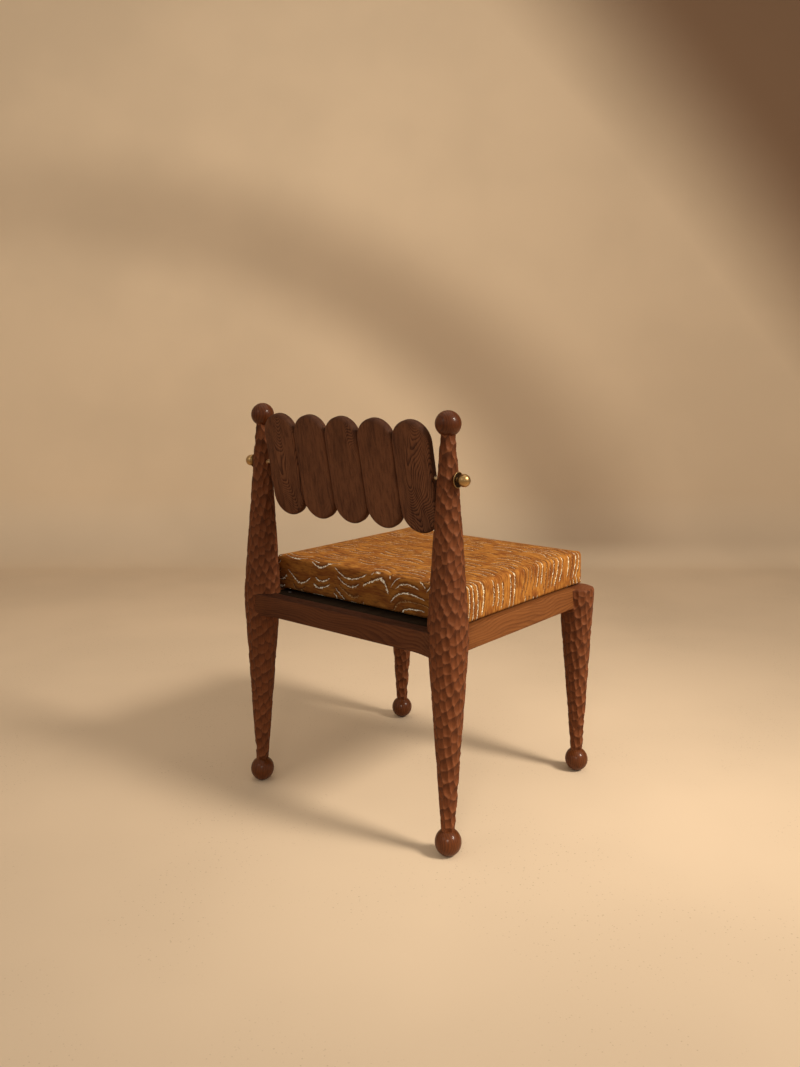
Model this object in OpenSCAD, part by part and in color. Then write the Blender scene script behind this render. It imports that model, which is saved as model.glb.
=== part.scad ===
// Side chair with round carved legs, a tilting back of five upright slats and a box cushion.
// Millimetres, +Z up. The origin lies on the floor midway between the four legs.
// The front of the chair faces -Y, and left is the sitter's left, at +X.

/* [Legs] */
// Distance between the leg axes from side to side
leg_spacing_x = 500; // [460:1:620]
// Distance between the leg axes from front to back
leg_spacing_y = 475; // [430:1:560]
// Radius of the ball feet and of the balls on the posts
ball_r = 24.7; // [22:0.1:28]
// Radius of a leg where it stands on its ball foot
ankle_r = 12.7; // [10:0.1:16]
// Radius of a leg at the seat rails
waist_r = 38.5; // [36:0.5:42]
// Height at which a leg reaches its waist radius
waist_z = 391; // [375:1:395]
// Height of the straight waist of a rear post
waist_h = 26; // [10:1:50]
// Radius of a rear post under its ball
neck_r = 14.4; // [11:0.1:17]
// Height of the centre of the balls on the rear posts
finial_z = 789; // [760:1:840]
// Rounding of the upper edge of a front leg
leg_edge_r = 5; // [2:0.5:8]
// How far the front legs stop below the top of the rails
leg_drop = 1.5; // [0:0.5:4]

/* [Glides] */
// Radius of the glide under a ball foot
glide_r = 7.5; // [5:0.5:10]
// Thickness of a glide
glide_t = 3; // [2:0.5:5]
// How far a glide stands out of its ball foot
glide_proud = 1; // [0.5:0.1:2]
// Rim of the flat that is cut around a glide
glide_rim = 0.5; // [0.2:0.1:1.5]

/* [Rails] */
// Height of the underside of the rails
rail_z = 364; // [350:1:370]
// Height of a rail
rail_h = 42.5; // [36:0.5:60]
// Thickness of a rail
rail_t = 30; // [22:1:34]
// How far the side and front rails stand outside the leg axes
rail_out = 11.5; // [5:0.5:18]
// How far the rear rail stands behind the post axes
rear_rail_out = 24; // [12:0.5:28]
// Thickness of a tenon
tenon_t = 12; // [8:1:14]
// Step from the edge of a rail to its tenon
tenon_step = 7; // [4:1:12]
// Distance from a leg axis to the end of a tenon
tenon_stop = 12; // [8:1:18]
// How far inside the rail's coped end a tenon starts
tenon_root = 4; // [2:1:8]
// Glue line around a tenon and at its shoulder
glue_gap = 0.1; // [0.05:0.05:0.2]

/* [Seat] */
// Length of a corner block along each rail
block_l = 85; // [75:1:110]
// Height of a corner block
block_h = 26; // [20:1:28]
// Distance from a corner block's end to its screw
block_screw_end = 20; // [16:1:24]
// Depth of wood under the head of a corner block screw
block_screw_wood = 15; // [12:1:17]
// Distance of a deck screw from both rails
deck_screw_in = 30; // [26:1:36]
// Thickness of the seat deck
deck_t = 12; // [9:1:15]
// How far the deck lies below the top of the rails
deck_drop = 1.5; // [1.2:0.1:3]
// Clearance between the deck and the rails and legs
deck_gap = 0.5; // [0.3:0.1:1.5]
// Width of a grip strip
strip_w = 40; // [20:1:60]
// Length of a grip strip
strip_l = 300; // [150:5:360]
// Distance from the middle of the seat to the middle of a grip strip
strip_x = 130; // [60:5:160]
// Gap between the cushion and what lies under it
cushion_seat_gap = 0.3; // [0.2:0.05:0.5]

/* [Cushion] */
// How far a side of the cushion lies inside the leg axes
cushion_side_in = 0; // [0:0.5:20]
// How far the cushion reaches in front of the leg axes
cushion_front_out = 26.5; // [0:0.5:40]
// Height of the cushion at its upper edge
cushion_h = 76; // [50:1:90]
// Rise of the top from its edge to its middle
cushion_crown = 4; // [2:0.5:20]
// Radius of the cushion's corners in plan
cushion_corner_r = 11; // [10:1:40]
// Rounding of the cushion's upper edge
cushion_top_r = 12; // [8:1:20]
// Rounding of the cushion's lower edge
cushion_base_r = 8; // [4:1:12]
// How far the sides are drawn in between the corners
cushion_draw = 3; // [1:0.5:6]
// Clearance between the cushion and the rear posts
cushion_back_gap = 2; // [1:0.5:10]
// Thickness of the padded cover around the foam
cover_t = 12; // [8:1:16]
// Clearance around the foam block
foam_gap = 0.3; // [0.2:0.05:0.5]

/* [Back] */
// Distance from the axis of a rear post to the nearest slat
back_side_gap = 30; // [29:0.5:36]
// Length of a back slat
slat_l = 221; // [180:1:250]
// Thickness of a back slat
slat_t = 22; // [18:1:28]
// Rounding of the edges of a slat
slat_edge_r = 7; // [4:0.5:8]
// Lean of the back from the vertical at rest
lean = 12; // [0:1:20]
// Radius of the dowels between two slats
slat_dowel_r = 3.5; // [2.5:0.5:4]
// Length of the dowels between two slats
slat_dowel_l = 30; // [20:1:50]
// Distance from the rod to a dowel, along the slat
slat_dowel_s = 45; // [20:1:60]

/* [Rod] */
// How far the rod lies below the centres of the balls on the rear posts
rod_drop = 101.5; // [90:0.5:120]
// Radius of the rod
rod_r = 3.5; // [3:0.25:4.5]
// How far the rod lies above the middle of the slats
rod_up = 1; // [0.5:0.5:6]
// Outer radius of a bushing
bushing_r = 5.5; // [5.3:0.1:7]
// How far a bushing stops inside the inner face of its post
bushing_drop = 1.2; // [0.8:0.1:3]
// Depth of the flat that a rosette sits on
spot_depth = 1.3; // [1:0.1:2.5]
// Outer radius of a rosette
rosette_r = 14.5; // [11:0.5:18]
// Radius of the flat middle of a rosette
rosette_hub_r = 6.5; // [5.5:0.5:8]
// Rise of a rosette from its middle to its rim
rosette_dish = 4; // [2:0.5:6]
// Thickness of a rosette
rosette_t = 1.4; // [1:0.1:2]
// Radius of a ball knob
knob_r = 12; // [9:0.5:14]
// Distance from a post axis to the centre of its ball knob
knob_x = 36; // [34:0.5:46]
// Radius of the neck of a ball knob
knob_neck_r = 5; // [4.8:0.1:5.4]
// Running clearance around the rod
run_gap = 0.05; // [0.02:0.01:0.09]
// Clearance between a knob and its rosette
knob_gap = 0.3; // [0.2:0.05:0.5]
// How far the rod stops short of a knob's centre
rod_short = 2; // [0:0.5:6]

/* [Fasteners] */
// Radius of a wood screw
screw_r = 2.2; // [1.8:0.1:2.6]
// Radius of a wood screw's head
screw_head_r = 4.2; // [3.6:0.1:5]
// Length of a corner block screw
block_screw_l = 34; // [26:1:38]
// Length of a deck screw
deck_screw_l = 30; // [22:1:34]
// Radius of the dowel screws in the balls
dowel_screw_r = 4; // [3:0.25:5]
// Length of the dowel screws in the balls
dowel_screw_l = 42; // [30:1:44]
// Clearance around a screw or dowel in its hole
fit_gap = 0.05; // [0.02:0.01:0.1]

/* [Hidden] */
$fn = 64;
cut = 1;

LEFT = 1;
RIGHT = -1;
REAR = 1;
FRONT = -1;

walnut = "saddlebrown";
dark_walnut = "sienna";
brass = "goldenrod";
steel = "silver";

// Leg axes
half_x = leg_spacing_x / 2;
half_y = leg_spacing_y / 2;

// Heights of the balls and of the leg ends that meet them
glide_flat_r = glide_r + glide_rim;
foot_z = glide_proud + sqrt(pow(ball_r, 2) - pow(glide_flat_r, 2));
ankle_z = foot_z + sqrt(pow(ball_r, 2) - pow(ankle_r, 2));
neck_z = finial_z - sqrt(pow(ball_r, 2) - pow(neck_r, 2));
waist_top = waist_z + waist_h;
rail_top = rail_z + rail_h;
leg_top = rail_top - leg_drop;

// Rails: middle lines and inner faces
side_mid = half_x + rail_out - rail_t / 2;
front_mid = half_y + rail_out - rail_t / 2;
rear_mid = half_y + rear_rail_out - rail_t / 2;
inner_x = side_mid - rail_t / 2;
inner_rear = rear_mid - rail_t / 2;
inner_front = front_mid - rail_t / 2;
tenon_h = rail_h - 2 * tenon_step;

// Seat deck on its corner blocks
deck_top = rail_top - deck_drop;
deck_z = deck_top - deck_t;
cushion_z = rail_top + cushion_seat_gap;
strip_t = cushion_z - cushion_seat_gap / 2 - deck_top;

// Screws, placed from the inner corner of two rails
block_screw_out = block_l - block_screw_end;
screw_tip_l = 2 * screw_r;
screw_head_h = screw_head_r - screw_r;

// Height of the rod that carries the back
rod_z = finial_z - rod_drop;

// Cushion
cushion_w = 2 * (half_x - cushion_side_in);
cushion_rear = half_y - waist_r - cushion_back_gap;
cushion_d = cushion_rear + half_y + cushion_front_out;
cushion_mid_y = cushion_rear - cushion_d / 2;
foam_edge = cover_t + cushion_draw;
foam_base = cover_t / 2;
foam_w = cushion_w - 2 * foam_edge;
foam_d = cushion_d - 2 * foam_edge;
foam_h = cushion_h - cover_t - foam_base;

// Back and rod
SLATS = 5;
slat_w = 2 * (half_x - back_side_gap) / SLATS;
slat_end_r = slat_w / 2;
slat_straight = slat_l - slat_w;
post_r_at_rod = waist_r + (neck_r - waist_r) * (rod_z - waist_top) / (neck_z - waist_top);
spot_x = post_r_at_rod - spot_depth;
rod_half = half_x + knob_x - rod_short;
rod_bore_r = rod_r + run_gap;
knob_start = spot_x + rosette_t + knob_gap;
knob_bore_end = knob_x - rod_short + knob_gap;

// Corner of the seat frame: s is LEFT or RIGHT, t is REAR or FRONT
function inner_y(t) = t == REAR ? inner_rear : inner_front;

// Moves its children from the inner corner of two rails, drawn toward -X and -Y, to corner s, t
module at_corner(s, t) {
    translate([s * inner_x, t * inner_y(t), 0])
        mirror([s == RIGHT ? 1 : 0, 0, 0])
            mirror([0, t == FRONT ? 1 : 0, 0])
                children();
}

// Moves its children to the rod axis, where +X points along the rod
module at_rod() {
    translate([0, half_y, rod_z]) children();
}

// Turns its children, drawn outward along +Z, to point outward along the rod from post s
module outward(s) {
    translate([s * half_x, half_y, rod_z]) rotate([0, s * 90, 0]) children();
}

// Wood screw with a countersunk head at z = 0 that points down
module wood_screw(length, grow = 0) {
    rotate([180, 0, 0]) rotate_extrude()
        polygon([[0, -grow], [screw_head_r + grow, -grow], [screw_head_r + grow, 0],
            [screw_r + grow, screw_head_h], [screw_r + grow, length - screw_tip_l], [0, length + grow]]);
}

// Rear post before its mortises
module post_blank() {
    rotate_extrude()
        polygon([[0, ankle_z], [ankle_r, ankle_z], [waist_r, waist_z],
            [waist_r, waist_top], [neck_r, neck_z], [0, neck_z]]);
}

// Front leg before its mortises, with a rounded upper edge
module leg_blank() {
    edge = min(leg_edge_r, leg_top - waist_z);
    rotate_extrude()
        polygon(concat([[0, ankle_z], [ankle_r, ankle_z], [waist_r, waist_z]],
            [for (a = [0 : 15 : 90]) [waist_r - edge + edge * cos(a), leg_top - edge + edge * sin(a)]],
            [[0, leg_top]]));
}

// Room that the rails and corner blocks leave for the four legs, wider than a leg by a clearance
module leg_room(gap) {
    for (s = [LEFT, RIGHT], t = [REAR, FRONT])
        translate([s * half_x, t * half_y, 0]) rotate_extrude()
            polygon([[0, ankle_z], [ankle_r + gap, ankle_z], [waist_r + gap, waist_z],
                [waist_r + gap, rail_top + cut], [0, rail_top + cut]]);
}

// Tenon of a rail that runs along X, at side s and rail middle line y
module cross_tenon(s, y, grow = 0) {
    reach = waist_r + tenon_root - tenon_stop;
    translate([s * (half_x - tenon_stop - reach / 2), y, rail_z + rail_h / 2])
        cube([reach + 2 * grow, tenon_t + 2 * grow, tenon_h + 2 * grow], center = true);
}

// Tenon of a side rail, at side s and leg row t
module side_tenon(s, t, grow = 0) {
    reach = waist_r + tenon_root - tenon_stop;
    translate([s * side_mid, t * (half_y - tenon_stop - reach / 2), rail_z + rail_h / 2])
        cube([tenon_t + 2 * grow, reach + 2 * grow, tenon_h + 2 * grow], center = true);
}

// Dowel screws that join the balls to the legs, in place
module dowel_screws_in_place(grow = 0) {
    spots = [[REAR, ankle_z], [FRONT, ankle_z], [REAR, neck_z]];
    for (s = [LEFT, RIGHT], spot = spots)
        translate([s * half_x, spot[0] * half_y, spot[1]])
            cylinder(r = dowel_screw_r + grow, h = dowel_screw_l + 2 * grow, center = true);
}

// Screws that hold the corner blocks to the rails, in place
module block_screws_in_place(grow = 0) {
    for (s = [LEFT, RIGHT], t = [REAR, FRONT])
        at_corner(s, t) translate([0, 0, deck_z - block_h / 2]) {
            translate([-block_screw_wood, -block_screw_out, 0])
                rotate([0, -90, 0]) wood_screw(block_screw_l, grow);
            translate([-block_screw_out, -block_screw_wood, 0])
                rotate([90, 0, 0]) wood_screw(block_screw_l, grow);
        }
}

// Screws that hold the deck to the corner blocks, in place
module deck_screws_in_place(grow = 0) {
    for (s = [LEFT, RIGHT], t = [REAR, FRONT])
        at_corner(s, t) translate([-deck_screw_in, -deck_screw_in, deck_top])
            wood_screw(deck_screw_l, grow);
}

module rear_post(s) {
    color(walnut) difference() {
        translate([s * half_x, half_y, 0]) post_blank();
        cross_tenon(s, rear_mid, glue_gap);
        side_tenon(s, REAR, glue_gap);
        dowel_screws_in_place(fit_gap);
        // Hole for the bushing, open on both sides of the post
        outward(s) cylinder(r = bushing_r, h = 2 * waist_r, center = true);
        // Flat that the rosette sits on
        outward(s) translate([0, 0, spot_x]) cylinder(r = rosette_r + cut, h = waist_r);
    }
}

module front_leg(s) {
    color(walnut) difference() {
        translate([s * half_x, -half_y, 0]) leg_blank();
        cross_tenon(s, -front_mid, glue_gap);
        side_tenon(s, FRONT, glue_gap);
        dowel_screws_in_place(fit_gap);
    }
}

// Ball on top of a rear post, cut flat where it sits
module finial_ball(s) {
    color(dark_walnut) difference() {
        translate([s * half_x, half_y, finial_z]) sphere(r = ball_r);
        translate([s * half_x, half_y, neck_z - ball_r]) cylinder(r = ball_r, h = ball_r);
        dowel_screws_in_place(fit_gap);
    }
}

// Ball foot, cut flat under the leg and at the floor, with a recess for its glide
module foot_ball(s, t) {
    color(dark_walnut) difference() {
        translate([s * half_x, t * half_y, foot_z]) sphere(r = ball_r);
        translate([s * half_x, t * half_y, ankle_z]) cylinder(r = ball_r, h = ball_r);
        translate([s * half_x, t * half_y, glide_proud - ball_r]) cylinder(r = ball_r, h = ball_r);
        translate([s * half_x, t * half_y, 0]) cylinder(r = glide_r + fit_gap, h = glide_t);
        dowel_screws_in_place(fit_gap);
    }
}

module foot_glide(s, t) {
    color("dimgray") translate([s * half_x, t * half_y, 0]) cylinder(r = glide_r, h = glide_t);
}

module ball_dowel_screws() {
    color(steel) dowel_screws_in_place();
}

// Rail along X with its middle line at y, coped around both legs of its row
module cross_rail(y) {
    color(walnut) difference() {
        union() {
            difference() {
                translate([0, y, rail_z + rail_h / 2])
                    cube([leg_spacing_x, rail_t, rail_h], center = true);
                leg_room(glue_gap);
            }
            for (s = [LEFT, RIGHT]) cross_tenon(s, y);
        }
        block_screws_in_place(fit_gap);
    }
}

module rear_rail() { cross_rail(rear_mid); }

module front_rail() { cross_rail(-front_mid); }

// Rail along Y at side s, coped around a post and a front leg
module side_rail(s) {
    color(walnut) difference() {
        union() {
            difference() {
                translate([s * side_mid, 0, rail_z + rail_h / 2])
                    cube([rail_t, leg_spacing_y, rail_h], center = true);
                leg_room(glue_gap);
            }
            for (t = [REAR, FRONT]) side_tenon(s, t);
        }
        block_screws_in_place(fit_gap);
    }
}

// Three-sided block in the corner of two rails, cut round the leg, under the deck
module corner_block(s, t) {
    color("tan") difference() {
        at_corner(s, t) translate([0, 0, deck_z - block_h])
            linear_extrude(block_h) polygon([[0, 0], [-block_l, 0], [0, -block_l]]);
        leg_room(deck_gap);
        block_screws_in_place(fit_gap);
        deck_screws_in_place(fit_gap);
        // Pockets through which the screws are driven
        at_corner(s, t) translate([0, 0, deck_z - block_h / 2]) {
            translate([-block_screw_wood, -block_screw_out, 0])
                rotate([0, -90, 0]) cylinder(r = screw_head_r + fit_gap, h = block_l);
            translate([-block_screw_out, -block_screw_wood, 0])
                rotate([90, 0, 0]) cylinder(r = screw_head_r + fit_gap, h = block_l);
        }
    }
}

module corner_block_screws() {
    color(steel) block_screws_in_place();
}

// Board between the rails, notched round the legs
module seat_deck() {
    color("burlywood") difference() {
        translate([-inner_x + deck_gap, -inner_front + deck_gap, deck_z])
            cube([2 * (inner_x - deck_gap), inner_rear + inner_front - 2 * deck_gap, deck_t]);
        for (s = [LEFT, RIGHT], t = [REAR, FRONT])
            translate([s * half_x, t * half_y, deck_z - cut])
                cylinder(r = waist_r + deck_gap, h = deck_t + 2 * cut);
        deck_screws_in_place(fit_gap);
    }
}

module deck_screws() {
    color(steel) deck_screws_in_place();
}

// Hook-and-loop strip that keeps the cushion in place
module grip_strip(s) {
    color("black") translate([s * strip_x, cushion_mid_y, deck_top + strip_t / 2])
        cube([strip_w, strip_l, strip_t], center = true);
}

// One side and corner of the cushion's outline. The side lies at x = a and the corner at y = b.
SIDE_STEPS = 8;
CORNER_STEPS = 4;
function side_and_corner(a, b, r) = [
    for (i = [-SIDE_STEPS / 2 : SIDE_STEPS / 2 - 1]) [a, (b - r) * 2 * i / SIDE_STEPS],
    for (i = [0 : CORNER_STEPS]) let (w = 90 * i / CORNER_STEPS) [a - r + r * cos(w), b - r + r * sin(w)]];

// A point turned about the origin by n quarter turns
function turned(p, n) = n == 0 ? p : turned([-p[1], p[0]], n - 1);

// How far a side is drawn in at a place along it
function drawn_in(along, half) = cushion_draw * (1 - pow(along / half, 2));

// The cushion's whole outline, moved inward by inset and drawn in between the corners
function outline(inset) =
    let (a = cushion_w / 2, b = cushion_d / 2)
    [for (n = [0 : 3], q = side_and_corner(n % 2 == 0 ? a : b, n % 2 == 0 ? b : a, cushion_corner_r))
        let (p = turned(q, n))
        [p[0] * (1 - (inset + drawn_in(p[1], b)) / a), p[1] * (1 - (inset + drawn_in(p[0], a)) / b)]];

// Rise of the top at a point in plan
function crown_at(p) =
    cushion_crown * (1 - pow(2 * p[0] / cushion_w, 2)) * (1 - pow(2 * p[1] / cushion_d, 2));

// Rings around the cushion from its base to its upper edge: inset, height and share of the crown
EDGE_STEPS = 3;
function edge_rings() = concat(
    [for (i = [0 : EDGE_STEPS]) let (w = 90 * i / EDGE_STEPS)
        [cushion_base_r * (1 - sin(w)), cushion_base_r * (1 - cos(w)), 0]],
    [for (i = [0 : EDGE_STEPS]) let (w = 90 * i / EDGE_STEPS)
        [cushion_top_r * (1 - cos(w)), cushion_h - cushion_top_r * (1 - sin(w)), i / EDGE_STEPS]]);
function edge_points(ring) =
    [for (p = outline(ring[0])) [p[0], p[1], ring[1] + ring[2] * crown_at(p)]];

// Rings on the top, each a smaller copy of the upper edge
TOP_SHARES = [0.86, 0.64, 0.36];
function top_points(share) =
    [for (p = share * outline(cushion_top_r)) [p[0], p[1], cushion_h + crown_at(p)]];

module cushion_form() {
    rings = concat([for (ring = edge_rings()) edge_points(ring)], [for (k = TOP_SHARES) top_points(k)]);
    n = len(rings[0]);
    m = len(rings);
    base = m * n;
    top = base + 1;
    points = concat([for (ring = rings) each ring], [[0, 0, 0], [0, 0, cushion_h + cushion_crown]]);
    sides = [for (k = [0 : m - 2], i = [0 : n - 1]) let (a = k * n + i, b = k * n + (i + 1) % n)
        each [[a, a + n, b + n], [a, b + n, b]]];
    base_fan = [for (i = [0 : n - 1]) [base, i, (i + 1) % n]];
    top_fan = [for (i = [0 : n - 1]) [top, (m - 1) * n + (i + 1) % n, (m - 1) * n + i]];
    translate([0, cushion_mid_y, cushion_z])
        polyhedron(points = points, faces = concat(sides, base_fan, top_fan), convexity = 4);
}

// Foam block with square edges, grown by a clearance
module foam_block(grow = 0) {
    translate([0, cushion_mid_y, cushion_z + foam_base + foam_h / 2])
        cube([foam_w + 2 * grow, foam_d + 2 * grow, foam_h + 2 * grow], center = true);
}

module cushion_cover() {
    color("goldenrod") difference() {
        cushion_form();
        foam_block(foam_gap);
    }
}

module cushion_foam() {
    color("khaki") foam_block();
}

module rod_bushing(s) {
    inner = post_r_at_rod - bushing_drop;
    color(brass) outward(s) difference() {
        translate([0, 0, -inner]) cylinder(r = bushing_r, h = inner + spot_x);
        translate([0, 0, -inner - cut]) cylinder(r = rod_bore_r, h = inner + spot_x + 2 * cut);
    }
}

// Thin dished disc around the rod, with its flat middle on the post
module rosette(s) {
    bore = rod_r + knob_gap;
    color(brass) outward(s) translate([0, 0, spot_x]) rotate_extrude()
        polygon([[bore, 0], [rosette_hub_r, 0], [rosette_r, rosette_dish],
            [rosette_r, rosette_dish + rosette_t], [rosette_hub_r, rosette_t], [bore, rosette_t]]);
}

module ball_knob(s) {
    color(brass) outward(s) difference() {
        union() {
            translate([0, 0, knob_x]) sphere(r = knob_r);
            translate([0, 0, knob_start]) cylinder(r = knob_neck_r, h = knob_x - knob_start);
        }
        translate([0, 0, knob_start - cut]) cylinder(r = rod_bore_r, h = knob_bore_end - knob_start + cut);
    }
}

module pivot_rod() {
    color(brass) at_rod() rotate([0, 90, 0]) cylinder(r = rod_r, h = 2 * rod_half, center = true);
}

// Half of a slat's thickness profile: flat faces and a rounded outer edge, from its middle to its rim
module slat_profile(width) {
    flat = slat_t / 2 - slat_edge_r;
    translate([0, -slat_t / 2]) square([width - slat_edge_r, slat_t]);
    translate([0, -flat]) square([width, 2 * flat]);
    for (m = [-1, 1]) translate([width - slat_edge_r, m * flat]) circle(r = slat_edge_r);
}

// Places its children, drawn about the rod axis, at the lean of the back
module on_back() {
    at_rod() rotate([-lean, 0, 0]) translate([0, 0, -rod_up]) children();
}

// Dowels between neighbouring slats, in place on the back
module dowels_in_place(grow = 0) {
    for (i = [1 : SLATS - 1], m = [-1, 1])
        translate([(i - SLATS / 2) * slat_w, 0, m * slat_dowel_s]) rotate([0, 90, 0])
            cylinder(r = slat_dowel_r + grow, h = slat_dowel_l + 2 * grow, center = true);
}

// Upright slat with half-round ends. Number 1 is at the sitter's left.
module back_slat(number) {
    color(dark_walnut) on_back() difference() {
        translate([((SLATS + 1) / 2 - number) * slat_w, 0, 0]) {
            for (m = [0, 1]) mirror([m, 0, 0])
                translate([0, 0, -slat_straight / 2]) linear_extrude(slat_straight) slat_profile(slat_end_r);
            for (m = [0, 1]) mirror([0, 0, m])
                translate([0, 0, slat_straight / 2]) rotate([-90, 0, 0]) rotate([0, 0, 180])
                    rotate_extrude(angle = 180) slat_profile(slat_end_r);
        }
        translate([0, 0, rod_up]) rotate([0, 90, 0])
            cylinder(r = rod_bore_r, h = (SLATS + 1) * slat_w, center = true);
        dowels_in_place(fit_gap);
    }
}

module slat_dowels() {
    color("tan") on_back() dowels_in_place();
}

module rear_post_left() { rear_post(LEFT); }
module rear_post_right() { rear_post(RIGHT); }
module front_leg_left() { front_leg(LEFT); }
module front_leg_right() { front_leg(RIGHT); }
module finial_ball_left() { finial_ball(LEFT); }
module finial_ball_right() { finial_ball(RIGHT); }
module foot_ball_rear_left() { foot_ball(LEFT, REAR); }
module foot_ball_rear_right() { foot_ball(RIGHT, REAR); }
module foot_ball_front_left() { foot_ball(LEFT, FRONT); }
module foot_ball_front_right() { foot_ball(RIGHT, FRONT); }
module foot_glide_rear_left() { foot_glide(LEFT, REAR); }
module foot_glide_rear_right() { foot_glide(RIGHT, REAR); }
module foot_glide_front_left() { foot_glide(LEFT, FRONT); }
module foot_glide_front_right() { foot_glide(RIGHT, FRONT); }
module side_rail_left() { side_rail(LEFT); }
module side_rail_right() { side_rail(RIGHT); }
module corner_block_rear_left() { corner_block(LEFT, REAR); }
module corner_block_rear_right() { corner_block(RIGHT, REAR); }
module corner_block_front_left() { corner_block(LEFT, FRONT); }
module corner_block_front_right() { corner_block(RIGHT, FRONT); }
module grip_strip_left() { grip_strip(LEFT); }
module grip_strip_right() { grip_strip(RIGHT); }
module rod_bushing_left() { rod_bushing(LEFT); }
module rod_bushing_right() { rod_bushing(RIGHT); }
module rosette_left() { rosette(LEFT); }
module rosette_right() { rosette(RIGHT); }
module back_slat_1() { back_slat(1); }
module back_slat_2() { back_slat(2); }
module back_slat_3() { back_slat(3); }
module back_slat_4() { back_slat(4); }
module back_slat_5() { back_slat(5); }
module ball_knob_left() { ball_knob(LEFT); }
module ball_knob_right() { ball_knob(RIGHT); }

rear_post_left();
rear_post_right();
front_leg_left();
front_leg_right();
finial_ball_left();
finial_ball_right();
foot_ball_rear_left();
foot_ball_rear_right();
foot_ball_front_left();
foot_ball_front_right();
foot_glide_rear_left();
foot_glide_rear_right();
foot_glide_front_left();
foot_glide_front_right();
ball_dowel_screws();
rear_rail();
front_rail();
side_rail_left();
side_rail_right();
corner_block_rear_left();
corner_block_rear_right();
corner_block_front_left();
corner_block_front_right();
corner_block_screws();
seat_deck();
deck_screws();
grip_strip_left();
grip_strip_right();
cushion_cover();
cushion_foam();
rod_bushing_left();
rod_bushing_right();
rosette_left();
rosette_right();
back_slat_1();
back_slat_2();
back_slat_3();
back_slat_4();
back_slat_5();
slat_dowels();
pivot_rod();
ball_knob_left();
ball_knob_right();
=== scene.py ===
"""Dresses a side chair: gouged walnut legs, a tilting back of rounded slats and a patterned box cushion.

Every length is in metres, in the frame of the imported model: +Z up, the front of the chair toward -Y and the
sitter's left toward +X.
"""
import logging
import math
from dataclasses import dataclass
from enum import Enum
from typing import Callable, Optional, Sequence

import bpy
import numpy as np
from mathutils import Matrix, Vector


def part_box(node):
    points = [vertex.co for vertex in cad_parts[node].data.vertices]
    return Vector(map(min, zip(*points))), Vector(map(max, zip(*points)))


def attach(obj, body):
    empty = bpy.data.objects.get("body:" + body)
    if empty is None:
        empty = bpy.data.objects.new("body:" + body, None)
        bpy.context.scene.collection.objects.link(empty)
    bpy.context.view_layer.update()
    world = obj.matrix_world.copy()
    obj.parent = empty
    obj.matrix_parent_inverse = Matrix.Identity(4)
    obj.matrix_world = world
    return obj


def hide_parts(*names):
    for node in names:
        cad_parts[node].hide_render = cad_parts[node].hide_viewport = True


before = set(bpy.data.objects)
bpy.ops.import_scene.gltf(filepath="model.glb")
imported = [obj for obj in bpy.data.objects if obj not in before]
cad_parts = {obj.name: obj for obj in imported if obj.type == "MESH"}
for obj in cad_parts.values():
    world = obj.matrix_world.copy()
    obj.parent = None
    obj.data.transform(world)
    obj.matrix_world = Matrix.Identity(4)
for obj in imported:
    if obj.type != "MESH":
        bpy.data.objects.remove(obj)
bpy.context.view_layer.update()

LOG = logging.getLogger("side_chair")
MM = 0.001
ROD_HEIGHT = 687.5 * MM
POST_FLAT_X = 18.68 * MM
Colour = tuple[float, float, float, float]
Triple = tuple[float, float, float]
Span = tuple[float, float]
Socket = bpy.types.NodeSocket


class Side(Enum):
    """The sitter's sides of the chair, each with its sign along X."""

    LEFT = 1
    RIGHT = -1

    @property
    def word(self) -> str:
        """The side's name in lower case."""
        return self.name.lower()


class Row(Enum):
    """The rear and front rows of legs, each with its sign along Y."""

    REAR = 1
    FRONT = -1

    @property
    def word(self) -> str:
        """The row's name in lower case."""
        return self.name.lower()


def smooth(x: np.ndarray) -> np.ndarray:
    """Smooth step from 0 to 1 as x goes from 0 to 1: 3x^2 - 2x^3."""
    t = np.clip(x, 0.0, 1.0)
    return t * t * (3.0 - 2.0 * t)


def node_box(node: str) -> tuple[np.ndarray, np.ndarray]:
    """Lowest and highest corner of a CAD node at rest, as arrays."""
    low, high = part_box(node)
    return np.array(low), np.array(high)


def faces_of_grid(rows: int, columns: int, wrap: bool) -> np.ndarray:
    """Quads between neighbouring points of a grid.

    Args:
        rows: number of rows of points.
        columns: number of points in a row.
        wrap: whether the last column joins the first.

    Returns:
        An array of four point numbers a quad. Along a row, then up a column, is seen anticlockwise.
    """
    across = columns if wrap else columns - 1
    row, column = np.meshgrid(np.arange(rows - 1), np.arange(across), indexing="ij")
    following = (column + 1) % columns
    corners = (row * columns + column, row * columns + following,
               (row + 1) * columns + following, (row + 1) * columns + column)
    return np.stack(corners, axis=-1).reshape(-1, 4)


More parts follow.
